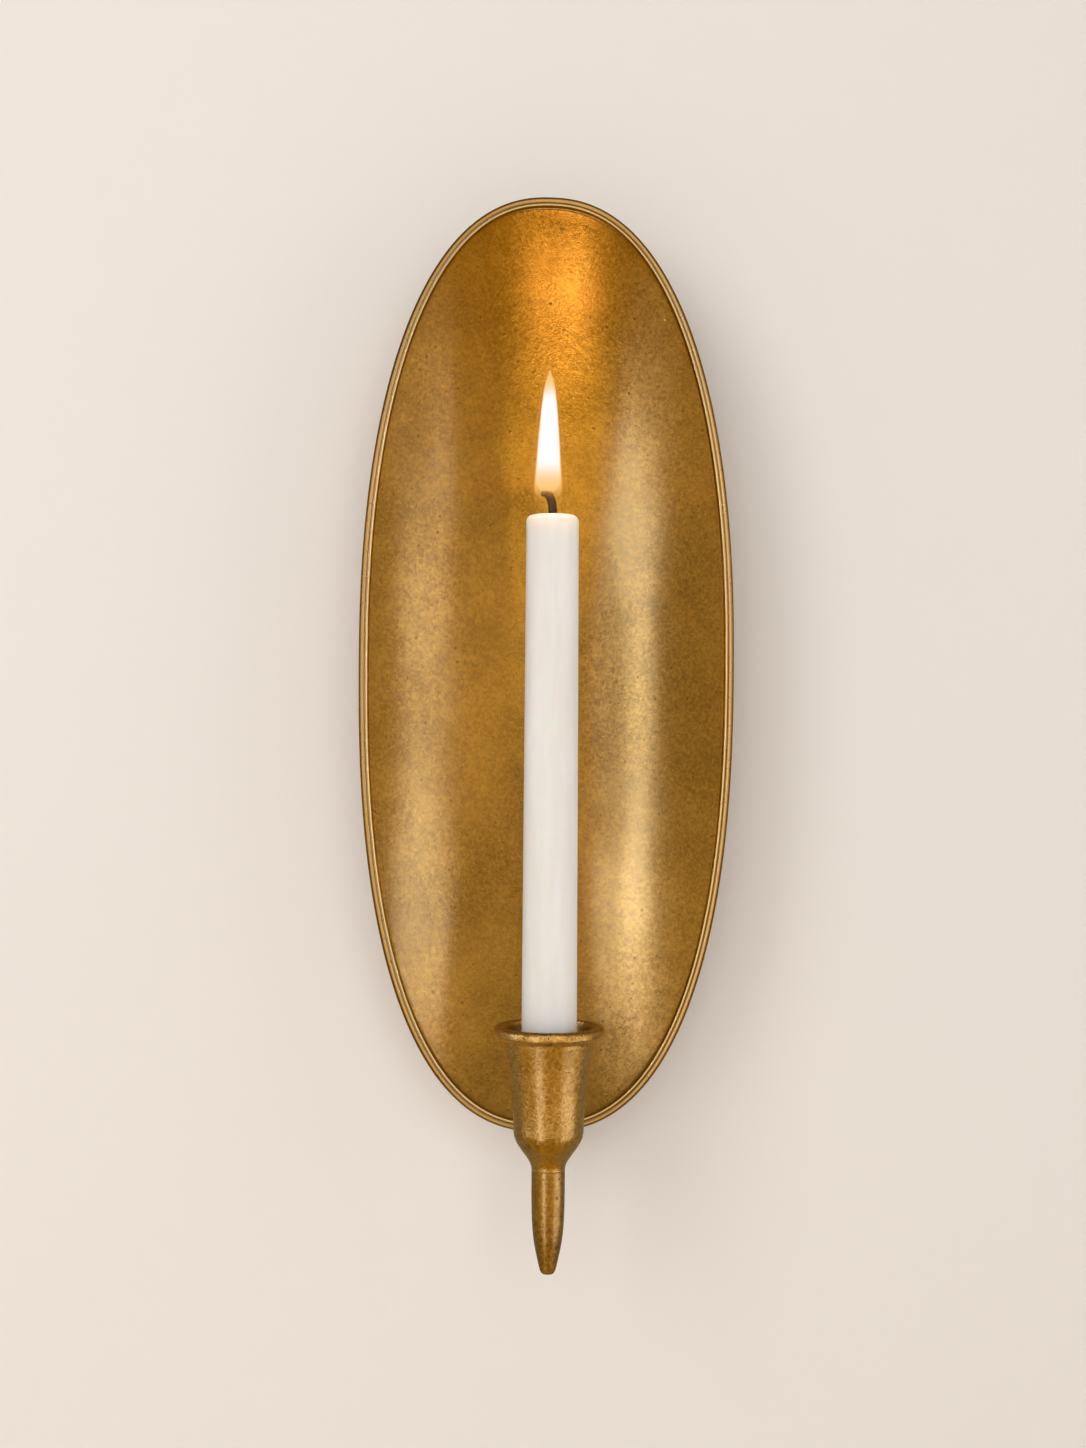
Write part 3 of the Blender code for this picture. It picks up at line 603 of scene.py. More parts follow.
def zinc_finish(name, grain_turn):
    """Dull zinc plating: a pale grey spangle over the rolling marks of the sheet."""
    material, tree, shader = new_material(name)
    place = object_place(tree)
    spangle = node(tree, "ShaderNodeTexVoronoi", {"Vector": place, "Scale": 520.0}).outputs["Color"]
    spangle = node(tree, "ShaderNodeRGBToBW", {"Color": spangle}).outputs["Val"]
    cloud = noise(tree, place, 130, 5, 0.6)
    rolled = noise(tree, stretched(tree, place, 0.03, math.radians(grain_turn)), 2600, 2)
    mixed = weighted(tree, (spangle, 0.35), (cloud, 0.65))
    tone = blend(tree, between(tree, mixed, 0.3, 0.7), (0.40, 0.40, 0.39, 1), (0.60, 0.60, 0.585, 1))
    tree.links.new(tone, shader.inputs["Base Color"])
    tree.links.new(between(tree, mixed, 0.3, 0.7, 0.34, 0.50), shader.inputs["Roughness"])
    roughen(tree, shader, maths(tree, "ADD", rolled, cloud), 0.00003)
    shader.inputs["Metallic"].default_value = 1.0
    return material


strap = hanger_strap()
strap.data.materials.append(zinc_finish("zinc_plated_strap", grain_turn=0))
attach(strap, "sconce")
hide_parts("hanger_strap")


# Hanger washers and nuts. A stamped steel washer and a hexagon nut on each stud draw the strap tight
# against the stud's flange. The nut's corners are chamfered on both faces.
WASHER_ROUND = 0.00015
NUT_FLATS = 0.007
NUT_CHAMFER = 0.00045
NUT_FACE = 0.96
NUT_BORE = 0.0044
NUT_SINK = 0.0014
NUT_SINK_DEPTH = 0.0004
NUT_EDGE = 0.00008
TOOL_SPARE = 0.001
SLACK = 0.0001


def copied(piece, name, x, z):
    """A copy of a piece with its own mesh, moved by X and Z."""
    make_active(piece)
    bpy.ops.object.duplicate(linked=False)
    copy = bpy.context.object
    copy.name = name
    put(copy, x, 0, z)
    return copy


def hanger_washer(node_name):
    low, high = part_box(node_name)
    outer = (high.x - low.x) / 2
    inner = STUD_HOLE / 2
    front, back = -low.y, -high.y
    profile = arc(inner + WASHER_ROUND, front - WASHER_ROUND, WASHER_ROUND, 180, 90, 3)
    profile += arc(outer - WASHER_ROUND, front - WASHER_ROUND, WASHER_ROUND, 90, 0, 3)
    profile += arc(outer - WASHER_ROUND, back + WASHER_ROUND, WASHER_ROUND, 0, -90, 3)
    profile += arc(inner + WASHER_ROUND, back + WASHER_ROUND, WASHER_ROUND, -90, -180, 3)
    washer = turned(node_name + "_stamped", profile + profile[:1])
    put(washer, 0, 0, (low.z + high.z) / 2, forward=True)
    smooth(washer)
    return washer


def hanger_nut(node_name):
    low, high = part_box(node_name)
    middle = Vector((0, (low.y + high.y) / 2, (low.z + high.z) / 2))
    half = (high.y - low.y) / 2
    corner = NUT_FLATS / 2 / math.cos(math.radians(30))
    bpy.ops.mesh.primitive_cylinder_add(vertices=6, radius=corner, depth=2 * half, location=middle,
                                        rotation=(math.radians(90), 0, 0))
    nut = bpy.context.object
    nut.name = node_name + "_chamfered"
    bpy.ops.object.transform_apply(location=True, rotation=True, scale=True)
    face = NUT_FLATS / 2 * NUT_FACE
    shoulder = half - NUT_CHAMFER
    clear = corner + SLACK
    stock = turned("nut_chamfer_stock", [(0, half), (face, half), (clear, shoulder), (clear, -shoulder),
                                         (face, -half), (0, -half)])
    put(stock, *middle, forward=True)
    combine(nut, stock, "INTERSECT")
    bore = NUT_BORE / 2
    end = half + TOOL_SPARE
    throat = half - NUT_SINK_DEPTH
    drill_tool = turned("nut_bore_tool", [(0, end), (bore + NUT_SINK, end), (bore, throat), (bore, -throat),
                                          (bore + NUT_SINK, -end), (0, -end)])
    put(drill_tool, *middle, forward=True)
    combine(nut, drill_tool)
    round_edges(nut, NUT_EDGE, 40)
    smooth_flat(nut, 30)
    return nut


nut_finish = zinc_finish("zinc_plated_nut", grain_turn=90)
nut_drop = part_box("hanger_nut_lower")[0].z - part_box("hanger_nut_upper")[0].z
for kind, upper in (("hanger_washer", hanger_washer("hanger_washer_upper")),
                    ("hanger_nut", hanger_nut("hanger_nut_upper"))):
    lower = copied(upper, upper.name.replace("upper", "lower"), 0, nut_drop)
    for piece, node_name in ((upper, kind + "_upper"), (lower, kind + "_lower")):
        piece.data.materials.append(nut_finish)
        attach(piece, "sconce")
        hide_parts(node_name)


# Wall bumpers. Two moulded rubber buttons, pushed through the strap's lower end by their barbs. Their
# domed heads keep the dish off the wall.
BUMPER_NECK = 0.0044
BUMPER_BARB = 0.0064
BUMPER_BARB_LENGTH = 0.002
BUMPER_BARB_EDGE = 0.0002
BUMPER_TIP_ROUND = 0.0005
BUMPER_ROUND = 0.0012
BUMPER_DOME = 0.0004
BUMPER_SHOULDER = 0.0004


def wall_bumper(node_name):
    low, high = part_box(node_name)
    head = (high.x - low.x) / 2
    front = -low.y
    neck = BUMPER_NECK / 2
    barb = BUMPER_BARB / 2 - BUMPER_BARB_EDGE
    barb_back = front - BUMPER_BARB_LENGTH
    head_front = -(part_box("hanger_strap")[0].y + STRAP_SHEET) - TOUCH
    wall_side = -high.y
    profile = [(0, front)]
    profile += arc(neck - BUMPER_TIP_ROUND, front - BUMPER_TIP_ROUND, BUMPER_TIP_ROUND, 90, 20, 4)
    profile += [(barb, barb_back + BUMPER_BARB_EDGE), (barb, barb_back), (neck, barb_back),
                (neck, head_front)]
    profile += arc(head - BUMPER_SHOULDER, head_front - BUMPER_SHOULDER, BUMPER_SHOULDER, 90, 0, 4)
    profile += arc(head - BUMPER_ROUND, wall_side + BUMPER_DOME + BUMPER_ROUND, BUMPER_ROUND, 0, -75, 6)
    edge, rise = profile[-1]
    for step in range(1, 7):
        lift = math.sin(math.radians(90) * step / 6)
        profile.append((edge * (1 - step / 6), rise + (wall_side - rise) * lift))
    bumper = turned(node_name + "_moulded", profile)
    put(bumper, (low.x + high.x) / 2, 0, (low.z + high.z) / 2, forward=True)
    smooth(bumper)
    return bumper


def rubber_finish(name):
    material, tree, shader = new_material(name)
    place = object_place(tree)
    bloom = noise(tree, place, 420, 5, 0.6)
    tone = blend(tree, between(tree, bloom, 0.35, 0.7), (0.012, 0.012, 0.012, 1), (0.034, 0.033, 0.031, 1))
    tree.links.new(tone, shader.inputs["Base Color"])
    tree.links.new(between(tree, bloom, 0.3, 0.7, 0.62, 0.82), shader.inputs["Roughness"])
    roughen(tree, shader, noise(tree, place, 2400, 3), 0.00004)
    return material


bumper_finish = rubber_finish("black_moulded_rubber")
left_bumper = wall_bumper("wall_bumper_left")
right_bumper = copied(left_bumper, "wall_bumper_right_moulded", 2 * BUMPER_X, 0)
for bumper, node_name in ((left_bumper, "wall_bumper_left"), (right_bumper, "wall_bumper_right")):
    bumper.data.materials.append(bumper_finish)
    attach(bumper, "sconce")
    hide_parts(node_name)


# Candle cup. A brass casting, turned outside and bored inside, with a rolled lip, a flared mouth and a
# rounded base. A boss behind it takes the arm's screw.
cup_low, cup_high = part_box("candle_cup")
CUP_MOUTH = 0.0384
CUP_LIP_HEIGHT = 0.0046
CUP_LIP_ROUND = 0.0016
CUP_NECK_STEP = 0.0006
CUP_NECK_FILLET = 0.0016
CUP_BORE = 0.0240
CUP_WALL = 0.0026
CUP_BODY_HEIGHT = 0.043
CUP_SOCKET_DEPTH = 0.0383
SOCKET_START = 0.0009
SOCKET_SPARE = 0.0006
CUP_FLARE = 1.7
CUP_BASE_SWELL = 1.15
BOSS_DIAMETER = 0.016
BOSS_REACH = 0.021
BOSS_ROUND = 0.0006
TAIL_DIAMETER = 0.0139
CUP_SIDES = 144
SPIGOT_DIAMETER = 0.006
SPIGOT_LENGTH = 0.0095
SPIGOT_PLAY = 0.0003
ARM_SCREW_BITE = 0.0065

axis_y = (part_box("candle")[0].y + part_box("candle")[1].y) / 2
cup_top = cup_high.z
cup_bottom = cup_low.z


def flare(wide, narrow, top, bottom, steps):
    """A trumpet flare, from its wide top to its narrow foot."""
    points = []
    for step in range(steps + 1):
        share = step / steps
        points.append((narrow + (wide - narrow) * (1 - share) ** CUP_FLARE, top + (bottom - top) * share))
    return points


def socket_radius(below):
    """The radius of the cup's flared socket at a depth below its lip."""
    share = min(1, below / CUP_SOCKET_DEPTH)
    return CUP_BORE / 2 + (CUP_MOUTH - CUP_BORE) / 2 * (1 - share) ** CUP_FLARE


def cup_boss():
    """The round boss behind the cup, whose inner end stops in the middle of the cup's wall."""
    radius = BOSS_DIAMETER / 2
    back = -axis_y - BOSS_REACH
    front = -axis_y - CUP_BORE / 2 - CUP_WALL / 2
    profile = [(0, front), (radius * 0.5, front), (radius, front), (radius, back + BOSS_ROUND)]
    profile += arc(radius - BOSS_ROUND, back + BOSS_ROUND, BOSS_ROUND, 0, -90, 4)[1:] + [(0, back)]
    boss = turned("cup_boss_stock", profile, 48)
    put(boss, 0, 0, ARM_HEIGHT, forward=True)
    for corner in boss.data.vertices:
        if corner.co.y < -front + TOUCH:
            middle = socket_radius(cup_top - corner.co.z) + CUP_WALL / 2
            corner.co.y = axis_y + math.sqrt(middle ** 2 - corner.co.x ** 2)
    return boss


def candle_cup():
    lip = (cup_high.x - cup_low.x) / 2
    mouth = CUP_MOUTH / 2
    waist = CUP_BORE / 2 + CUP_WALL
    waist_height = cup_top - CUP_BODY_HEIGHT
    lip_bottom = cup_top - CUP_LIP_HEIGHT
    neck = mouth + CUP_NECK_STEP
    neck_top = lip_bottom - CUP_NECK_FILLET
    round_x = lip - CUP_LIP_ROUND
    socket_floor = cup_top - CUP_SOCKET_DEPTH
    inner_round = CUP_LIP_ROUND / 2
    profile = [(0, socket_floor)]
    profile += reversed(flare(mouth, CUP_BORE / 2, cup_top - inner_round, socket_floor, 24))
    profile += arc(mouth + inner_round, cup_top - inner_round, inner_round, 180, 90, 4)[1:]
    profile += arc(round_x, cup_top - CUP_LIP_ROUND, CUP_LIP_ROUND, 90, 0, 6)
    profile += arc(round_x, lip_bottom + CUP_LIP_ROUND, CUP_LIP_ROUND, 0, -90, 6)
    profile += arc(neck + CUP_NECK_FILLET, neck_top, CUP_NECK_FILLET, 90, 180, 6)[:-1]
    profile += flare(neck, waist, neck_top, waist_height, 20)
    steps = 22
    for step in range(1, steps + 1):
        share = step / steps
        sweep = ease(0, 1, share ** CUP_BASE_SWELL)
        profile.append((waist + (TAIL_DIAMETER / 2 - waist) * sweep,
                        waist_height + (cup_bottom - waist_height) * share))
    hole = SPIGOT_DIAMETER / 2 + SPIGOT_PLAY
    hole_top = cup_bottom + SPIGOT_LENGTH + SPIGOT_PLAY
    profile += [(hole, cup_bottom), (hole, hole_top), (0, hole_top)]
    cup = turned("candle_cup_casting", profile, CUP_SIDES)
    put(cup, 0, axis_y, 0)
    combine(cup, cup_boss(), "UNION")
    drill(cup, 0, axis_y + BOSS_REACH, ARM_HEIGHT, SCREW_HOLE, 2 * (ARM_SCREW_BITE + SPIGOT_PLAY))
    smooth(cup)
    return cup


def mark_socket_shade(cup):
    """Marks the inside of the cup, where a dark colour is painted in as shade."""
    inside = cup.data.attributes.new("socket", "FLOAT", "POINT")
    for corner, mark in zip(cup.data.vertices, inside.data):
        below = cup_top - corner.co.z
        from_axis = math.hypot(corner.co.x, corner.co.y - axis_y)
        if SOCKET_START < below < CUP_SOCKET_DEPTH + SLACK:
            mark.value = 1.0 if from_axis < socket_radius(below) + SOCKET_SPARE else 0.0


cup = candle_cup()
mark_socket_shade(cup)
cup_finish = brass_finish("cast_brass_cup", rubbed=(0.90, 0.61, 0.235), patina=(0.46, 0.275, 0.083),
                          pit_scale=300, grain_depth=0.00022, roughness=0.27)
# The dark colour inside the socket is painted shade.
paint_mark_colour(cup_finish, "socket", (0.20, 0.115, 0.035), metal=0.9)
cup.data.materials.append(cup_finish)
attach(cup, "sconce")
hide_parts("candle_cup")
cup.visible_glossy = False


# Tail finial. A slim turned brass drop, screwed up into the cup's base by its spigot. Its joint with
# the cup shows as a fine line.
TAIL_SIDE = [(0, 1), (0.2, 1), (0.36, 0.988), (0.48, 0.962), (0.58, 0.92), (0.68, 0.845), (0.77, 0.74),
             (0.85, 0.63), (0.91, 0.545), (0.95, 0.485), (0.975, 0.42), (0.99, 0.33), (1, 0)]
TAIL_JOINT = 0.00012
TAIL_ROUND = 0.00035
SPIGOT_CHAMFER = 0.0006
SPIGOT_RELIEF = 0.0012
COARSE_PITCH = 0.001
COARSE_DEPTH = 0.00035
tail_low, tail_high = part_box("tail_finial")


def along(points, place):
    """Reads a curve of (place, value) points with straight steps between them."""
    for (start, low), (end, high) in zip(points, points[1:]):
        if place <= end:
            return low + (high - low) * (place - start) / (end - start)
    return points[-1][1]


def tail_finial():
    radius = TAIL_DIAMETER / 2
    top = cup_bottom - TAIL_JOINT
    steps = 44
    spigot = SPIGOT_DIAMETER / 2
    profile = [(0, tail_high.z), (spigot - SPIGOT_CHAMFER, tail_high.z)]
    profile += thread(spigot, tail_high.z - SPIGOT_CHAMFER, top + SPIGOT_RELIEF, COARSE_PITCH, COARSE_DEPTH)
    profile += [(spigot - COARSE_DEPTH, top)]
    profile += arc(radius - TAIL_ROUND, top - TAIL_ROUND, TAIL_ROUND, 90, 0, 4)
    for step in range(1, steps + 1):
        share = math.sin(math.radians(90) * step / steps)
        height = top + (tail_low.z - top) * share
        if height < top - TAIL_ROUND:
            profile.append((radius * along(TAIL_SIDE, share), height))
    tail = turned("tail_finial_drop", profile, CUP_SIDES)
    put(tail, 0, axis_y, 0)
    smooth(tail)
    return tail


tail = tail_finial()
tail.data.materials.append(brass_finish(
    "cast_brass_tail", rubbed=(0.68, 0.45, 0.17), patina=(0.31, 0.18, 0.052),
    pit_scale=260, grain_depth=0.00018, roughness=0.29))
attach(tail, "sconce")
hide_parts("tail_finial")


# Support arm and its screw. A waisted turned stem stands between the dish and the cup's boss, with its
# foot cut to the bowl. A slotted screw from behind, through a spring washer and a saddle washer that
# fits the dish's sloping back, draws the cup, the arm and the dish together.
ARM_WAIST = 0.0125
ARM_FOOT_EDGE = 0.0004
ARM_FOOT_RISE = 0.0006
SADDLE_EDGE = 0.0003
SADDLE_CUT = 0.0001
SPRING_WASHER_SLIT = math.radians(11)
SPRING_WASHER_EDGE = 0.00015
ARM_SCREW_DIAMETER = 0.006
ARM_SCREW_HEAD_HEIGHT = 0.0035
ARM_SCREW_SLOT = 0.0012
ARM_SCREW_SLOT_DEPTH = 0.0014
ARM_SCREW_THREAD = 0.010
ARM_SCREW_EDGE = 0.0002
arm_low, arm_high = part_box("support_arm")


def support_arm():
    bore = SCREW_HOLE / 2
    foot = (arm_high.x - arm_low.x) / 2
    end = BOSS_DIAMETER / 2
    waist = ARM_WAIST / 2
    top = -arm_low.y
    seat = -bowl_y(0, ARM_HEIGHT - dish_middle)
    steps = 28
    profile = [(bore, top)]
    for step in range(steps + 1):
        share = step / steps
        wide = end if share < 0.5 else foot
        profile.append((waist + (wide - waist) * (2 * share - 1) ** 2,
                        top + (seat + ARM_FOOT_RISE - top) * share))
    profile += arc(foot - ARM_FOOT_EDGE, seat + ARM_FOOT_EDGE, ARM_FOOT_EDGE, 0, -90, 3)
    profile += [(bore, seat), (bore, (seat + top) / 2), profile[0]]
    arm = turned("support_arm_turned", profile, 96)
    put(arm, 0, 0, ARM_HEIGHT, forward=True)
    for corner in arm.data.vertices:
        share = (top + corner.co.y) / (top - seat)
        seat_here = bowl_y(corner.co.x, corner.co.z - dish_middle) - TOUCH
        corner.co.y += (seat_here + seat) * share ** 2
    smooth(arm)
    return arm


def saddle_washer():
    low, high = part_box("saddle_washer")
    outer = (high.x - low.x) / 2
    inner = SCREW_HOLE / 2
    back = -high.y
    front = -dish_back_y(0, ARM_HEIGHT)
    profile = [(inner, front), ((inner + outer) / 2, front), (outer - SADDLE_EDGE, front)]
    profile += arc(outer - SADDLE_EDGE, back + SADDLE_EDGE, SADDLE_EDGE, 0, -90, 4)
    profile += [(inner, back), profile[0]]
    profile.insert(3, (outer, front - SADDLE_CUT))
    saddle = turned("saddle_washer_wedge", profile, 96)
    put(saddle, 0, 0, ARM_HEIGHT, forward=True)
    for corner in saddle.data.vertices:
        if corner.co.y < -front + 1.2 * SADDLE_CUT:
            lower = SADDLE_CUT if corner.co.y > -front + SADDLE_CUT / 2 else 0
            corner.co.y = dish_back_y(corner.co.x, corner.co.z) + TOUCH + lower
    smooth(saddle)
    return saddle


def spring_washer():
    """A split ring: a square section swept nearly all the way round."""
    low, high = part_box("spring_washer")
    outer = (high.z - low.z) / 2
    inner = SCREW_HOLE / 2
    front, back = -low.y, -high.y
    bpy.ops.mesh.primitive_plane_add(size=1, rotation=(math.radians(90), 0, 0))
    washer = bpy.context.object
    washer.name = "spring_washer_split"
    washer.scale = (outer - inner, front - back, 1)
    washer.location = ((inner + outer) / 2, 0, (front + back) / 2)
    bpy.ops.object.transform_apply(location=True, rotation=True, scale=True)
    bpy.ops.object.mode_set(mode="EDIT")
    bpy.ops.mesh.select_all(action="SELECT")
    bpy.ops.mesh.spin(steps=80, angle=math.tau - SPRING_WASHER_SLIT, center=(0, 0, 0), axis=(0, 0, 1))
    close_up()
    put(washer, 0, 0, ARM_HEIGHT, forward=True)
    round_edges(washer, SPRING_WASHER_EDGE, 50)
    smooth(washer)
    return washer


def arm_screw():
    low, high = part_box("arm_screw")
    head = (high.x - low.x) / 2
    shank = ARM_SCREW_DIAMETER / 2
    tip, head_back = -low.y, -high.y
    under_head = head_back + ARM_SCREW_HEAD_HEIGHT
    rounding = ARM_SCREW_HEAD_HEIGHT * 0.6
    thread_end = tip - ARM_SCREW_THREAD
    profile = [(0, tip), (shank - SPIGOT_CHAMFER, tip)]
    profile += thread(shank, tip - SPIGOT_CHAMFER, thread_end, COARSE_PITCH, COARSE_DEPTH)
    profile += [(shank, thread_end - 2 * ARM_SCREW_EDGE), (shank, under_head),
                (head - ARM_SCREW_EDGE, under_head), (head, under_head - ARM_SCREW_EDGE)]
    profile += arc(head - rounding, head_back + rounding, rounding, 0, -90, 10) + [(0, head_back)]
    screw = turned("arm_screw_slotted", profile)
    put(screw, 0, 0, ARM_HEIGHT, forward=True)
    bpy.ops.mesh.primitive_cube_add(size=1, location=(0, -head_back, ARM_HEIGHT))
    slot = bpy.context.object
    slot.scale = (3 * head, 2 * ARM_SCREW_SLOT_DEPTH, ARM_SCREW_SLOT)
    bpy.ops.object.transform_apply(location=True, rotation=True, scale=True)
    combine(screw, slot)
    smooth(screw)
    return screw


arm_finish = brass_finish("cast_brass_arm", rubbed=(0.64, 0.42, 0.165), patina=(0.44, 0.27, 0.09),
                          pit_scale=340, grain_depth=0.00006, roughness=0.32)
for piece, node_name in ((support_arm(), "support_arm"), (saddle_washer(), "saddle_washer"),
                         (arm_screw(), "arm_screw")):
    piece.data.materials.append(arm_finish)
    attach(piece, "sconce")
    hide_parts(node_name)
split_washer = spring_washer()
split_washer.data.materials.append(nut_finish)
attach(split_washer, "sconce")
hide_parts("spring_washer")


# Wall bracket. Zinc plated steel sheet, with two ears that are screwed to the wall and a lip between them
# that steps forward and turns up. The strap's hook drops over the lip.
BRACKET_HEIGHT = 0.024
BRACKET_SHEET = 0.002
BRACKET_CORNER = 0.006
BRACKET_NECK = 0.002
BRACKET_LIP_WIDTH = 0.026
BRACKET_LIP_CORNER = 0.003
BRACKET_LIP_STEP = 0.0045
WALL_SCREW_HOLE = 0.0045
WALL_SCREW_SINK = 0.0078
WALL_SCREW_SINK_FOOT = 0.0006
WALL_SCREW_SPARE = 0.002
WALL_SCREW_X = 0.026
bracket_low, bracket_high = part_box("wall_bracket")


def wall_bracket():
    columns = (bracket_low.x, -BRACKET_LIP_WIDTH / 2, BRACKET_LIP_WIDTH / 2, bracket_high.x)
    bracket = new_corner("wall_bracket_folded")
    draw_line([(x, 0, -BRACKET_HEIGHT / 2) for x in columns])
    bpy.ops.mesh.select_all(action="SELECT")
    bpy.ops.mesh.extrude_region_move(TRANSFORM_OT_translate={"value": (0, 0, BRACKET_HEIGHT)})
    pick(bracket, "EDGE", lambda edge: all(
        corner.co.z > 0 and abs(corner.co.x) < BRACKET_LIP_WIDTH / 2 + SLACK for corner in edge.verts))
    lip = bracket_high.z - BRACKET_HEIGHT / 2 - BRACKET_NECK - BRACKET_LIP_STEP
    for step in ((0, 0, BRACKET_NECK), (0, -BRACKET_LIP_STEP, BRACKET_LIP_STEP), (0, 0, lip)):
        bpy.ops.mesh.extrude_region_move(TRANSFORM_OT_translate={"value": step})
    pick(bracket, "VERT", lambda corner: corner.co.z > bracket_high.z - SLACK)
    bpy.ops.mesh.bevel(offset=BRACKET_LIP_CORNER, segments=6, affect="VERTICES")
    pick(bracket, "VERT", lambda corner: abs(corner.co.x) > bracket_high.x - SLACK)
    bpy.ops.mesh.bevel(offset=BRACKET_CORNER, segments=8, affect="VERTICES")
    fold_sheet(bracket, STRAP_FOLD, BRACKET_SHEET)
    hole = WALL_SCREW_HOLE / 2
    front = BRACKET_SHEET + WALL_SCREW_SPARE
    for x in (-WALL_SCREW_X, WALL_SCREW_X):
        sink = turned("wall_screw_sink", [
            (0, front), (WALL_SCREW_SINK / 2 + WALL_SCREW_SPARE, front), (hole, WALL_SCREW_SINK_FOOT),
            (hole, -WALL_SCREW_SPARE), (0, -WALL_SCREW_SPARE)])
        put(sink, x, 0, 0, forward=True)
        combine(bracket, sink)
    round_edges(bracket, STRAP_EDGE_ROUND, 50)
    smooth_flat(bracket)
    return bracket


bracket = wall_bracket()
bracket.data.materials.append(zinc_finish("zinc_plated_bracket", grain_turn=90))
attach(bracket, "wall_bracket")
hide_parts("wall_bracket")


# Candle. A slim white dipped candle that stands loose in the cup. Its shoulder is rounded by the heat
# and holds a shallow pool round the wick.
CANDLE_TIP_DIAMETER = 0.0218
CANDLE_SHOULDER = 0.0026
CANDLE_FOOT_CHAMFER = 0.0008
MELT_POOL = 0.0009
WICK_DIAMETER = 0.0030
WICK_GAP = 0.00005
candle_low, candle_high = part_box("candle")


def candle():
    foot = (candle_high.x - candle_low.x) / 2
    tip = CANDLE_TIP_DIAMETER / 2
    top = candle_high.z
    bore = WICK_DIAMETER / 2 + WICK_GAP
    pool_edge = tip - CANDLE_SHOULDER
    profile = [(bore, top - MELT_POOL)]
    for step in range(1, 7):
        share = step / 6
        profile.append((bore + (pool_edge - bore) * share, top - MELT_POOL * (1 - ease(0, 1, share))))
    profile += arc(pool_edge, top - CANDLE_SHOULDER, CANDLE_SHOULDER, 90, 0, 10)[1:]
    side_top = top - CANDLE_SHOULDER
    side_foot = candle_low.z + CANDLE_FOOT_CHAMFER
    for step in range(1, 25):
        share = step / 24
        profile.append((tip + (foot - tip) * share, side_top + (side_foot - side_top) * share))
    profile += [(foot - CANDLE_FOOT_CHAMFER, candle_low.z), (bore, candle_low.z), profile[0]]
    made = turned("candle_body", profile, CUP_SIDES)
    put(made, 0, axis_y, 0)
    smooth(made)
    return made


def wax_finish(name):
    material, tree, shader = new_material(name)
    place = object_place(tree)
    cloud = noise(tree, stretched(tree, place, 0.12), 160, 4)
    fine = noise(tree, place, 900, 3)
    tone = blend(tree, between(tree, cloud, 0.35, 0.65), (0.78, 0.75, 0.715, 1), (0.83, 0.81, 0.785, 1))
    tree.links.new(tone, shader.inputs["Base Color"])
    tree.links.new(between(tree, cloud, 0.3, 0.7, 0.42, 0.56), shader.inputs["Roughness"])
    roughen(tree, shader, weighted(tree, (cloud, 1), (fine, 0.2)), 0.00006)
    shader.inputs["Subsurface Weight"].default_value = 1.0
    shader.inputs["Subsurface Radius"].default_value = (1.0, 0.7, 0.5)
    shader.inputs["Subsurface Scale"].default_value = 0.014
    return material


candle_body = candle()
candle_body.data.materials.append(wax_finish("white_candle_wax"))
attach(candle_body, "candle")
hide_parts("candle")
candle_body.visible_shadow = False
candle_body.visible_glossy = False


# Wick. Braided cotton up the middle of the candle, burnt black, bent over to one side at its end by
# the draught and finished in a small glowing knob.
WICK_BEND = [(0.0, -0.001), (0.0, 0.0003), (0.0, 0.0022), (-0.00012, 0.0040), (-0.00042, 0.0056),
             (-0.00085, 0.0070), (-0.00140, 0.0082), (-0.00205, 0.0091), (-0.00275, 0.0095),
             (-0.00340, 0.0093), (-0.00385, 0.0087), (-0.00405, 0.0080)]
WICK_END = (0.55, 0.85, 1.12, 1.3, 1.34, 1.3)
WICK_ABOVE = 1.2
WICK_INSIDE = 0.90
WICK_EMBER = (0.0070, 0.0105)
wick_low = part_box("wick")[0]


def wick():
    top = candle_high.z
    path = [(0, 0, wick_low.z)] + [(x, 0, top + up) for x, up in WICK_BEND]
    made = new_corner("wick_braid")
    draw_line(path)
    bpy.ops.object.mode_set(mode="OBJECT")
    bpy.ops.object.convert(target="CURVE")
    made = bpy.context.object
    made.data.dimensions = "3D"
    made.data.bevel_depth = WICK_DIAMETER / 2
    made.data.bevel_resolution = 6
    made.data.use_fill_caps = True
    points = made.data.splines[0].points
    for index, point in enumerate(points):
        from_end = len(points) - 1 - index
        if from_end < len(WICK_END):
            point.radius = WICK_END[from_end]
        else:
            point.radius = WICK_ABOVE if point.co.z > top else WICK_INSIDE
    bpy.ops.object.convert(target="MESH")
    made = bpy.context.object
    bpy.ops.object.mode_set(mode="EDIT")
    close_up()
    put(made, 0, axis_y, 0)
    smooth(made)
    return made


def charred_finish(name):
    material, tree, shader = new_material(name)
    place = object_place(tree)
    fibre = noise(tree, stretched(tree, place, 0.10), 1900, 3)
    height = node(tree, "ShaderNodeSeparateXYZ", {"Vector": place}).outputs["Z"]
    # The orange towards the wick's end is a painted glow of the ember, laid into the base colour.
    ember_glow_share = between(tree, height, *(candle_high.z + rise for rise in WICK_EMBER))
    tone = blend(tree, between(tree, fibre, 0.35, 0.65), (0.010, 0.007, 0.005, 1), (0.045, 0.030, 0.022, 1))
    tree.links.new(blend(tree, maths(tree, "MULTIPLY", ember_glow_share, 0.8), tone, (0.30, 0.105, 0.018, 1)),
                   shader.inputs["Base Color"])
    roughen(tree, shader, fibre, 0.0004)
    shader.inputs["Roughness"].default_value = 0.75
    return material


wick_braid = wick()
wick_braid.data.materials.clear()
wick_braid.data.materials.append(charred_finish("charred_cotton_braid"))
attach(wick_braid, "candle")
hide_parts("wick")


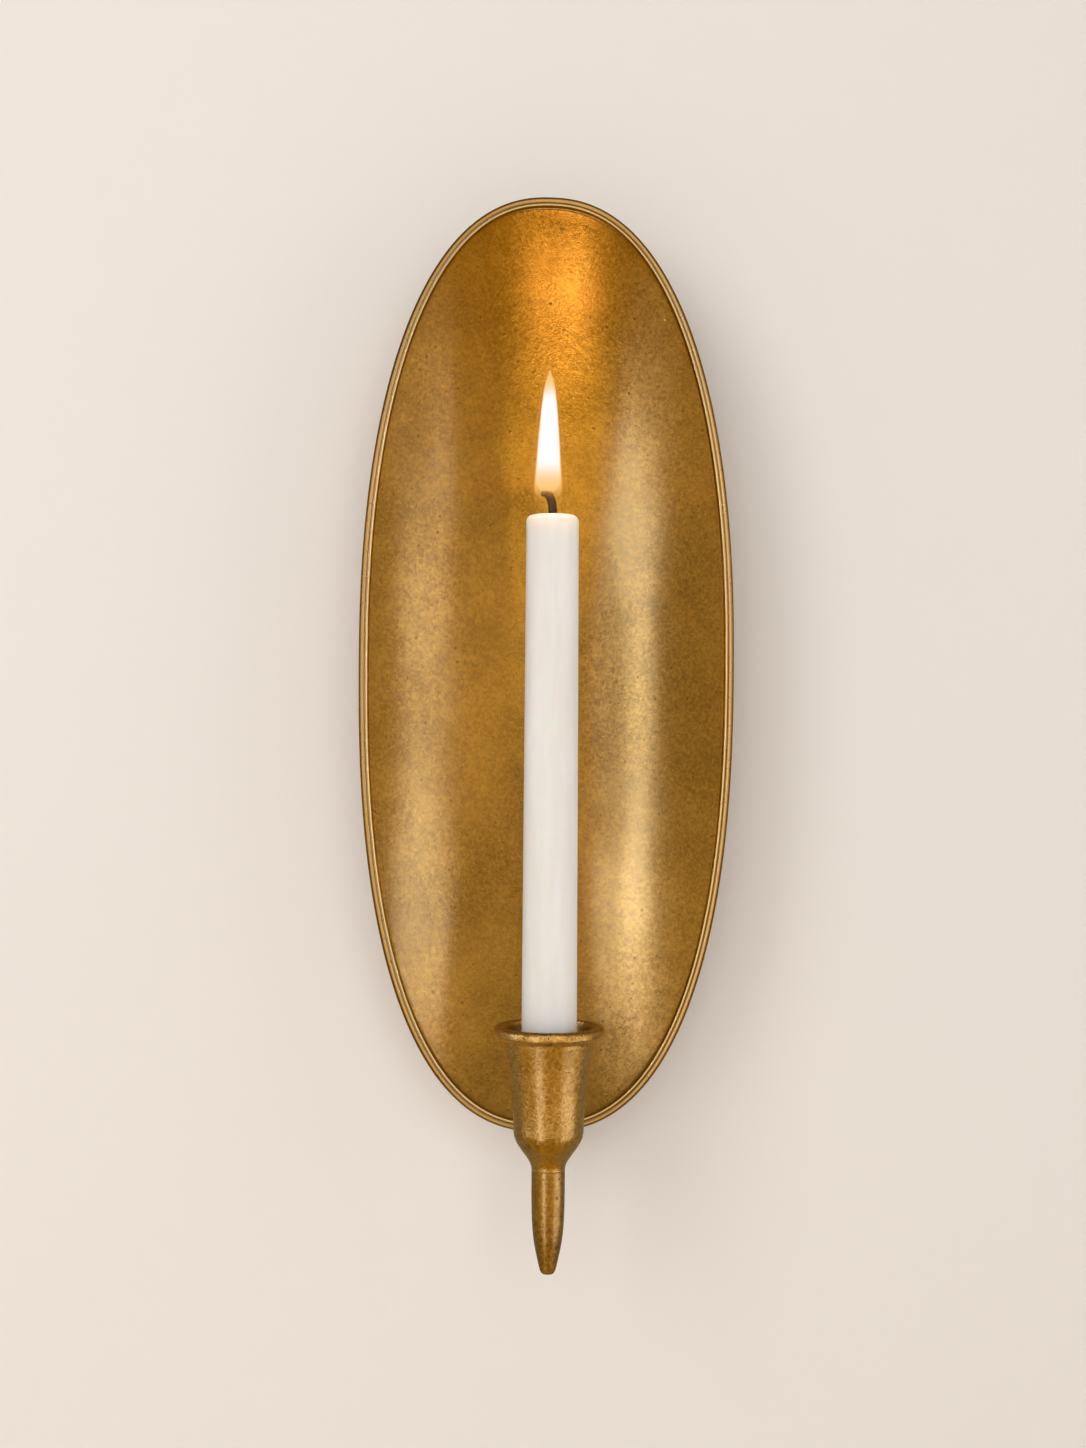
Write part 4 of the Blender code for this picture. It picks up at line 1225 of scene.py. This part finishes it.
# Flame. Burning wax vapour that rises round the bent wick: white in its heart, amber at its edge and
# nearly clear where it meets the wick. It is built of thin shells, one inside the other.
FLAME_RISE = 0.0605
FLAME_SIDE = [(0.0013, 0.0030), (0.0030, 0.0044), (0.0060, 0.0054), (0.0100, 0.0057), (0.0140, 0.0056),
              (0.0200, 0.0052), (0.0320, 0.0044), (0.0440, 0.0034), (0.0517, 0.0025), (0.0565, 0.0015),
              (0.0605, 0.0)]
FLAME_LAYERS = [(1.4, 0.0040, 0.05, 0.0), (1.06, 0.0013, 0.34, 0.0), (0.97, 0.0060, 0.62, 0.6),
                (0.87, 0.0098, 0.97, 1.0)]
FLAME_LEAN = (-0.0021, -0.0015)
FLAME_FOOT_ROUND = 0.004
FLAME_BODY_START = (0.0066, 0.0155)
FLAME_HEART_START = (0.0115, 0.0245)
FLAME_HEART_END = (0.046, 0.057)
FLAME_VEIL = 0.06
FLAME_EDGE = (1.0, 0.45, 0.09)
FLAME_AMBER = (1.0, 0.70, 0.27)
FLAME_HEART = (1.7, 1.7, 2.1)


def flame_shell(width, foot, body, heat):
    """One shell, given as its share of the flame's width, where it starts, how dense it is and how hot."""
    top = FLAME_RISE * (0.90 + 0.10 * width)
    section = [(0, 0, foot)]
    steps = 26
    for step in range(steps + 1):
        height = foot + (top - foot) * step / steps
        closing = math.sqrt(min(1, (height - foot) / FLAME_FOOT_ROUND + 0.25))
        section.append((along(FLAME_SIDE, height * FLAME_RISE / top) * width * closing, 0, height))
    shell = spun("flame_shell", section, (0, 0, 1), 40)
    colours = shell.data.attributes.new("flame_colour", "FLOAT_COLOR", "POINT")
    for corner, paint in zip(shell.data.vertices, colours.data):
        height = corner.co.z
        lean = FLAME_LEAN[0] + (FLAME_LEAN[1] - FLAME_LEAN[0]) * height / FLAME_RISE
        hot = heat * ease(*FLAME_HEART_START, height) * (1 - ease(*FLAME_HEART_END, height))
        colour = [edge + (amber - edge) * heat for edge, amber in zip(FLAME_EDGE, FLAME_AMBER)]
        colour = [part + (heart - part) * hot for part, heart in zip(colour, FLAME_HEART)]
        density = body * ease(*FLAME_BODY_START, height)
        if foot == FLAME_SIDE[0][0]:
            density = max(density, FLAME_VEIL) * ease(foot - 0.001, foot + FLAME_FOOT_ROUND, height)
        paint.color = (*colour, density)
        corner.co.x += lean
        corner.co.z += candle_high.z
    return shell


def flame_finish(name):
    material, tree, shader = new_material(name)
    tree.nodes.remove(shader)
    paint = node(tree, "ShaderNodeAttribute", attribute_name="flame_colour")
    glow = node(tree, "ShaderNodeEmission", {"Color": paint.outputs["Color"], "Strength": 1.0})
    clear = node(tree, "ShaderNodeBsdfTransparent")
    mix = node(tree, "ShaderNodeMixShader", {
        0: paint.outputs["Alpha"], 1: clear.outputs["BSDF"], 2: glow.outputs["Emission"]})
    tree.links.new(mix.outputs["Shader"], tree.nodes["Material Output"].inputs["Surface"])
    return material


shells = [flame_shell(*layer) for layer in FLAME_LAYERS]
bpy.ops.object.select_all(action="DESELECT")
for shell in shells:
    shell.select_set(True)
bpy.context.view_layer.objects.active = shells[0]
bpy.ops.object.join()
flame = bpy.context.object
flame.name = "candle_flame"
put(flame, 0, axis_y, 0)
smooth(flame, 60)
flame.data.materials.append(flame_finish("flame_glow"))
flame.visible_shadow = False
flame.visible_glossy = False
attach(flame, "candle")


# Wall and floor. A plain pale plastered wall that the sconce hangs on, and a pale floor under it. Both
# are clear from behind, so that the back of the sconce can be seen.
WALL_COLOUR = (0.86, 0.80, 0.745)
WALL_GAP = 0.0005
FLOOR_DROP = 0.16
STAGE_WIDTH = 6.0
FLOOR_REACH = 5.2


def stage_finish(name, colour):
    material, tree, shader = new_material(name)
    place = object_place(tree)
    soft = noise(tree, place, 3.0, 3)
    paler = tuple(min(1, 1.02 * part) for part in colour)
    tree.links.new(blend(tree, soft, (*colour, 1), (*paler, 1)), shader.inputs["Base Color"])
    shader.inputs["Roughness"].default_value = 0.9
    shader.inputs["Specular IOR Level"].default_value = 0.1
    clear = node(tree, "ShaderNodeBsdfTransparent")
    behind = node(tree, "ShaderNodeNewGeometry").outputs["Backfacing"]
    mix = node(tree, "ShaderNodeMixShader", {
        0: behind, 1: shader.outputs["BSDF"], 2: clear.outputs["BSDF"]})
    tree.links.new(mix.outputs["Shader"], tree.nodes["Material Output"].inputs["Surface"])
    return material


def stage_sheet(name, location, rotation, reach):
    """A flat sheet that is as wide as the stage and has this length."""
    bpy.ops.mesh.primitive_grid_add(x_subdivisions=8, y_subdivisions=8, size=STAGE_WIDTH,
                                    location=location, rotation=rotation)
    sheet = bpy.context.object
    sheet.name = name
    sheet.scale = (1, reach / STAGE_WIDTH, 1)
    bpy.ops.object.transform_apply(location=True, rotation=True, scale=True)
    sheet.data.materials.append(stage_finish(name + "_paint", WALL_COLOUR))
    sheet.visible_shadow = False
    sheet.visible_glossy = False


floor_height = cad_low.z - FLOOR_DROP
wall_middle = floor_height + STAGE_WIDTH / 2
stage_sheet("wall", (0, WALL_GAP, wall_middle), (math.radians(90), 0, 0), STAGE_WIDTH)
stage_sheet("floor", (0, WALL_GAP, floor_height), (0, 0, 0), FLOOR_REACH)


# Light. Large soft boxes light the wall and the wax evenly and leave the gloss alone. Strips that only show
# in gloss make the two bands in the dish, small warm lamps make the flame's glow in it, and a few lamps
# light single pieces. A warm dome that only gloss sees stands for the dim room in front of the brass.
LIGHT_COLOUR = (1.0, 0.995, 0.985)
ROOM_STRENGTH = 0.22
STRIP_COLOUR = (0.75, 0.84, 1.0)
STRIP_DISTANCE = 8
HALO_COLOUR = (1.0, 0.66, 0.12)
GLOW_COLOUR = (1.0, 0.57, 0.18)
GLOW_PLACE = Vector((0.001, -0.2547, 0.040))
GLOW_TARGET = Vector((0.005, -0.035, 0.108))
FLAME_LIGHT_COLOUR = (1.0, 0.62, 0.36)
FLAME_LIGHT_ENERGY = 0.045
FLAME_LIGHT_SIZE = 0.005
FLAME_LIGHT_OFFSET = Vector((-0.0012, 0, 0.019))
DOME_COLOUR = (1.0, 0.70, 0.23)
DOME_LOW = (1.0, 0.57, 0.05)
DOME_BACK = (0.64, 0.48, 0.24)
DOME_RADIUS = 12.0
DOME_MIDDLE = (0.337 * DOME_RADIUS, -0.925 * DOME_RADIUS, 0.174 * DOME_RADIUS)


def soft_box(name, angle, rise, distance, width, tall, radiance, lean=0, glossy=True, diffuse=True):
    """A soft box, aimed at the dish's middle. Angle, rise and lean are in degrees, seen from the dish."""
    light = bpy.data.lights.new(name, "AREA")
    light.shape = "RECTANGLE"
    light.size = width
    light.size_y = tall
    light.energy = radiance * math.pi * width * tall
    light.color = LIGHT_COLOUR
    lamp = bpy.data.objects.new(name, light)
    turn, lift = math.radians(angle), math.radians(rise)
    away = Vector((math.cos(lift) * math.sin(turn), -math.cos(lift) * math.cos(turn), math.sin(lift)))
    lamp.location = distance * away + Vector((0, 0, dish_middle))
    turned_in = away.to_track_quat("Z", "Y").to_matrix() @ Matrix.Rotation(math.radians(lean), 3, "Z")
    lamp.rotation_euler = turned_in.to_euler()
    lamp.visible_camera = False
    lamp.visible_glossy = glossy
    lamp.visible_diffuse = diffuse
    bpy.context.scene.collection.objects.link(lamp)
    return lamp


def light_only(lamp, *pieces):
    """Lets a lamp light these pieces and no others."""
    lit = bpy.data.collections.new("lit_by_" + lamp.name)
    for piece in pieces:
        lit.objects.link(piece)
    lamp.light_linking.receiver_collection = lit


for lamp in (("key_soft_box", -33, 7, 2.4, 0.50, 1.45, 2.3, -48),
             ("fill_soft_box", 57, 7, 2.4, 1.05, 0.90, 1.0, 15),
             ("window_light", -42, 22, 3.0, 1.2, 1.4, 3.5),
             ("room_light", -2, 8, 3.2, 2.4, 2.4, 2.25)):
    soft_box(*lamp, glossy=False)
soft_box("back_light", 180, 25, 2.5, 2.0, 2.0, 1.2)
strip_blockers = bpy.data.collections.new("strips_shaded_by")
for piece in (dish, wire):
    strip_blockers.objects.link(piece)
for name, angle, rise, *shape in (("left_strip_high", -35.2, 9.5, 0.40, 2.4, 5.1, -61.5),
                                  ("left_strip_end", -20.5, 13.3, 0.55, 1.6, 1.8, -74),
                                  ("left_strip_inner", -25, 0.3, 0.7, 1.7, 0.5, 0),
                                  ("left_strip_low", -37.9, -1.9, 0.56, 2.7, 2.7, 70),
                                  ("right_strip_high", 56.0, 7.5, 0.78, 3.4, 1.35, 66),
                                  ("right_strip_low", 53.0, -1.0, 0.60, 2.28, 0.85, -56)):
    strip = soft_box(name, angle, rise, STRIP_DISTANCE, *shape, diffuse=False)
    strip.data.color = STRIP_COLOUR
    strip.data.cycles.use_multiple_importance_sampling = False
    strip.light_linking.blocker_collection = strip_blockers
for lamp, pieces in ((("cup_light_left", -31, -21, 2.4, 0.55, 1.5, 1.3), (cup, tail)),
                     (("cup_light_right", 60, -22, 2.4, 0.90, 2.0, 0.80, -63), (cup, tail)),
                     (("cup_light_front", 10, 4, 2.4, 1.8, 1.6, 0.62), (cup,)),
                     (("cup_light_top", -4, 40, 2.4, 2.4, 0.40, 1.7), (cup,)),
                     (("cup_light_side", -74, 2, 2.4, 0.9, 1.5, 1.2), (cup,))):
    light_only(soft_box(*lamp), *pieces)
light_only(soft_box("floor_gleam", -12, -52, 3.0, 2.6, 0.9, 0.75, diffuse=False), dish, wire)
light_only(soft_box("candle_side_light", 78, 0, 2.4, 1.4, 1.6, 2.3, glossy=False), candle_body)
halo = soft_box("flame_halo", -3.0, -5.5, STRIP_DISTANCE, 7.0, 2.0, 0.43, diffuse=False)
halo.data.shape = "ELLIPSE"
halo.data.color = HALO_COLOUR
light_only(halo, dish, wire)
for name, *shape in (("flame_glow", 0.020, 0.010, 6.4), ("flame_glow_mid", 0.042, 0.010, 2.5),
                     ("flame_glow_wide", 0.085, 0.016, 1.2)):
    glow = soft_box(name, 0, 0, 1, *shape, diffuse=False)
    glow.data.shape = "ELLIPSE"
    glow.data.color = GLOW_COLOUR
    glow.location = GLOW_PLACE
    glow.rotation_euler = (GLOW_PLACE - GLOW_TARGET).to_track_quat("Z", "Y").to_euler()
    light_only(glow, dish, wire)
flame_light = bpy.data.objects.new("flame_light", bpy.data.lights.new("flame_light", "POINT"))
flame_light.data.energy = FLAME_LIGHT_ENERGY
flame_light.data.color = FLAME_LIGHT_COLOUR
flame_light.data.shadow_soft_size = FLAME_LIGHT_SIZE
flame_light.location = Vector((0, axis_y, candle_high.z)) + FLAME_LIGHT_OFFSET
flame_light.visible_camera = False
flame_light.visible_glossy = False
bpy.context.scene.collection.objects.link(flame_light)
light_only(flame_light, candle_body, wick_braid)

bpy.ops.mesh.primitive_uv_sphere_add(segments=32, ring_count=16, radius=DOME_RADIUS,
                                     location=(0, 0, dish_middle))
dome = bpy.context.object
dome.name = "room_dome"
bpy.ops.object.transform_apply(location=True, rotation=True, scale=True)
dome_material, dome_tree, dome_shader = new_material("room_dome_cloth")
dome_place = object_place(dome_tree)
dome_parts = node(dome_tree, "ShaderNodeSeparateXYZ", {"Vector": dome_place})
behind = between(dome_tree, dome_parts.outputs["Y"], -0.6, 0.6)
from_middle = node(dome_tree, "ShaderNodeVectorMath", {0: dome_place, 1: DOME_MIDDLE}, operation="DISTANCE")
dome_shader.inputs["Base Color"].default_value = (0, 0, 0, 1)
dome_shader.inputs["Specular IOR Level"].default_value = 0
low = between(dome_tree, dome_parts.outputs["Z"], -0.28 * DOME_RADIUS, -0.06 * DOME_RADIUS, 1, 0)
front_colour = blend(dome_tree, low, (*DOME_COLOUR, 1), (*DOME_LOW, 1))
dome_tree.links.new(blend(dome_tree, behind, front_colour, (*DOME_BACK, 1)),
                    dome_shader.inputs["Emission Color"])
lower = between(dome_tree, dome_parts.outputs["Z"], -0.24 * DOME_RADIUS, 0.0, 0.70, 1.0)
upper = between(dome_tree, from_middle.outputs["Value"], 0.35 * DOME_RADIUS, DOME_RADIUS, 0.67, 0.50)
high = between(dome_tree, dome_parts.outputs["Z"], 0.25 * DOME_RADIUS, 0.325 * DOME_RADIUS, 1.0, 0.50)
level = maths(dome_tree, "MULTIPLY", maths(dome_tree, "MULTIPLY", lower, high), upper)
dome_tree.links.new(level, dome_shader.inputs["Emission Strength"])
dome.data.materials.append(dome_material)
dome.visible_camera = False
dome.visible_diffuse = False
dome.visible_shadow = False
dome.visible_transmission = False

world = bpy.data.worlds.new("room")
bpy.context.scene.world = world
world.use_nodes = True
background = world.node_tree.nodes["Background"]
seen = node(world.node_tree, "ShaderNodeLightPath")
direct = maths(world.node_tree, "MAXIMUM", seen.outputs["Is Camera Ray"], maths(
    world.node_tree, "MAXIMUM", seen.outputs["Is Glossy Ray"], seen.outputs["Is Transmission Ray"]))
world.node_tree.links.new(blend(world.node_tree, direct, (*LIGHT_COLOUR, 1), (*WALL_COLOUR, 1)),
                          background.inputs["Color"])
world.node_tree.links.new(between(world.node_tree, direct, 0, 1, ROOM_STRENGTH, 1.0),
                          background.inputs["Strength"])


# Camera. It stands in front of the sconce and a little to its left, about level with the candle's middle.
# Its place, turn and lens are fitted to the outlines in the photo.
CAMERA_PLACE = (-0.0592, -0.8573, -0.0839)
CAMERA_YAW = math.radians(4.05)
CAMERA_PITCH = math.radians(0.23)
CAMERA_ROLL = math.radians(0.39)
PHOTO_HEIGHT = 1448
FOCAL_PIXELS = 1900
SENSOR = 36.0

camera_data = bpy.data.cameras.new("camera")
camera_data.sensor_width = SENSOR
camera_data.lens = FOCAL_PIXELS / PHOTO_HEIGHT * SENSOR
camera = bpy.data.objects.new("camera", camera_data)
camera.location = CAMERA_PLACE
turn = Matrix.Rotation(-CAMERA_YAW, 3, "Z") @ Matrix.Rotation(math.radians(90) + CAMERA_PITCH, 3, "X")
camera.rotation_euler = (turn @ Matrix.Rotation(CAMERA_ROLL, 3, "Z")).to_euler()
bpy.context.scene.collection.objects.link(camera)
bpy.context.scene.camera = camera

bpy.context.scene.view_settings.view_transform = "Standard"
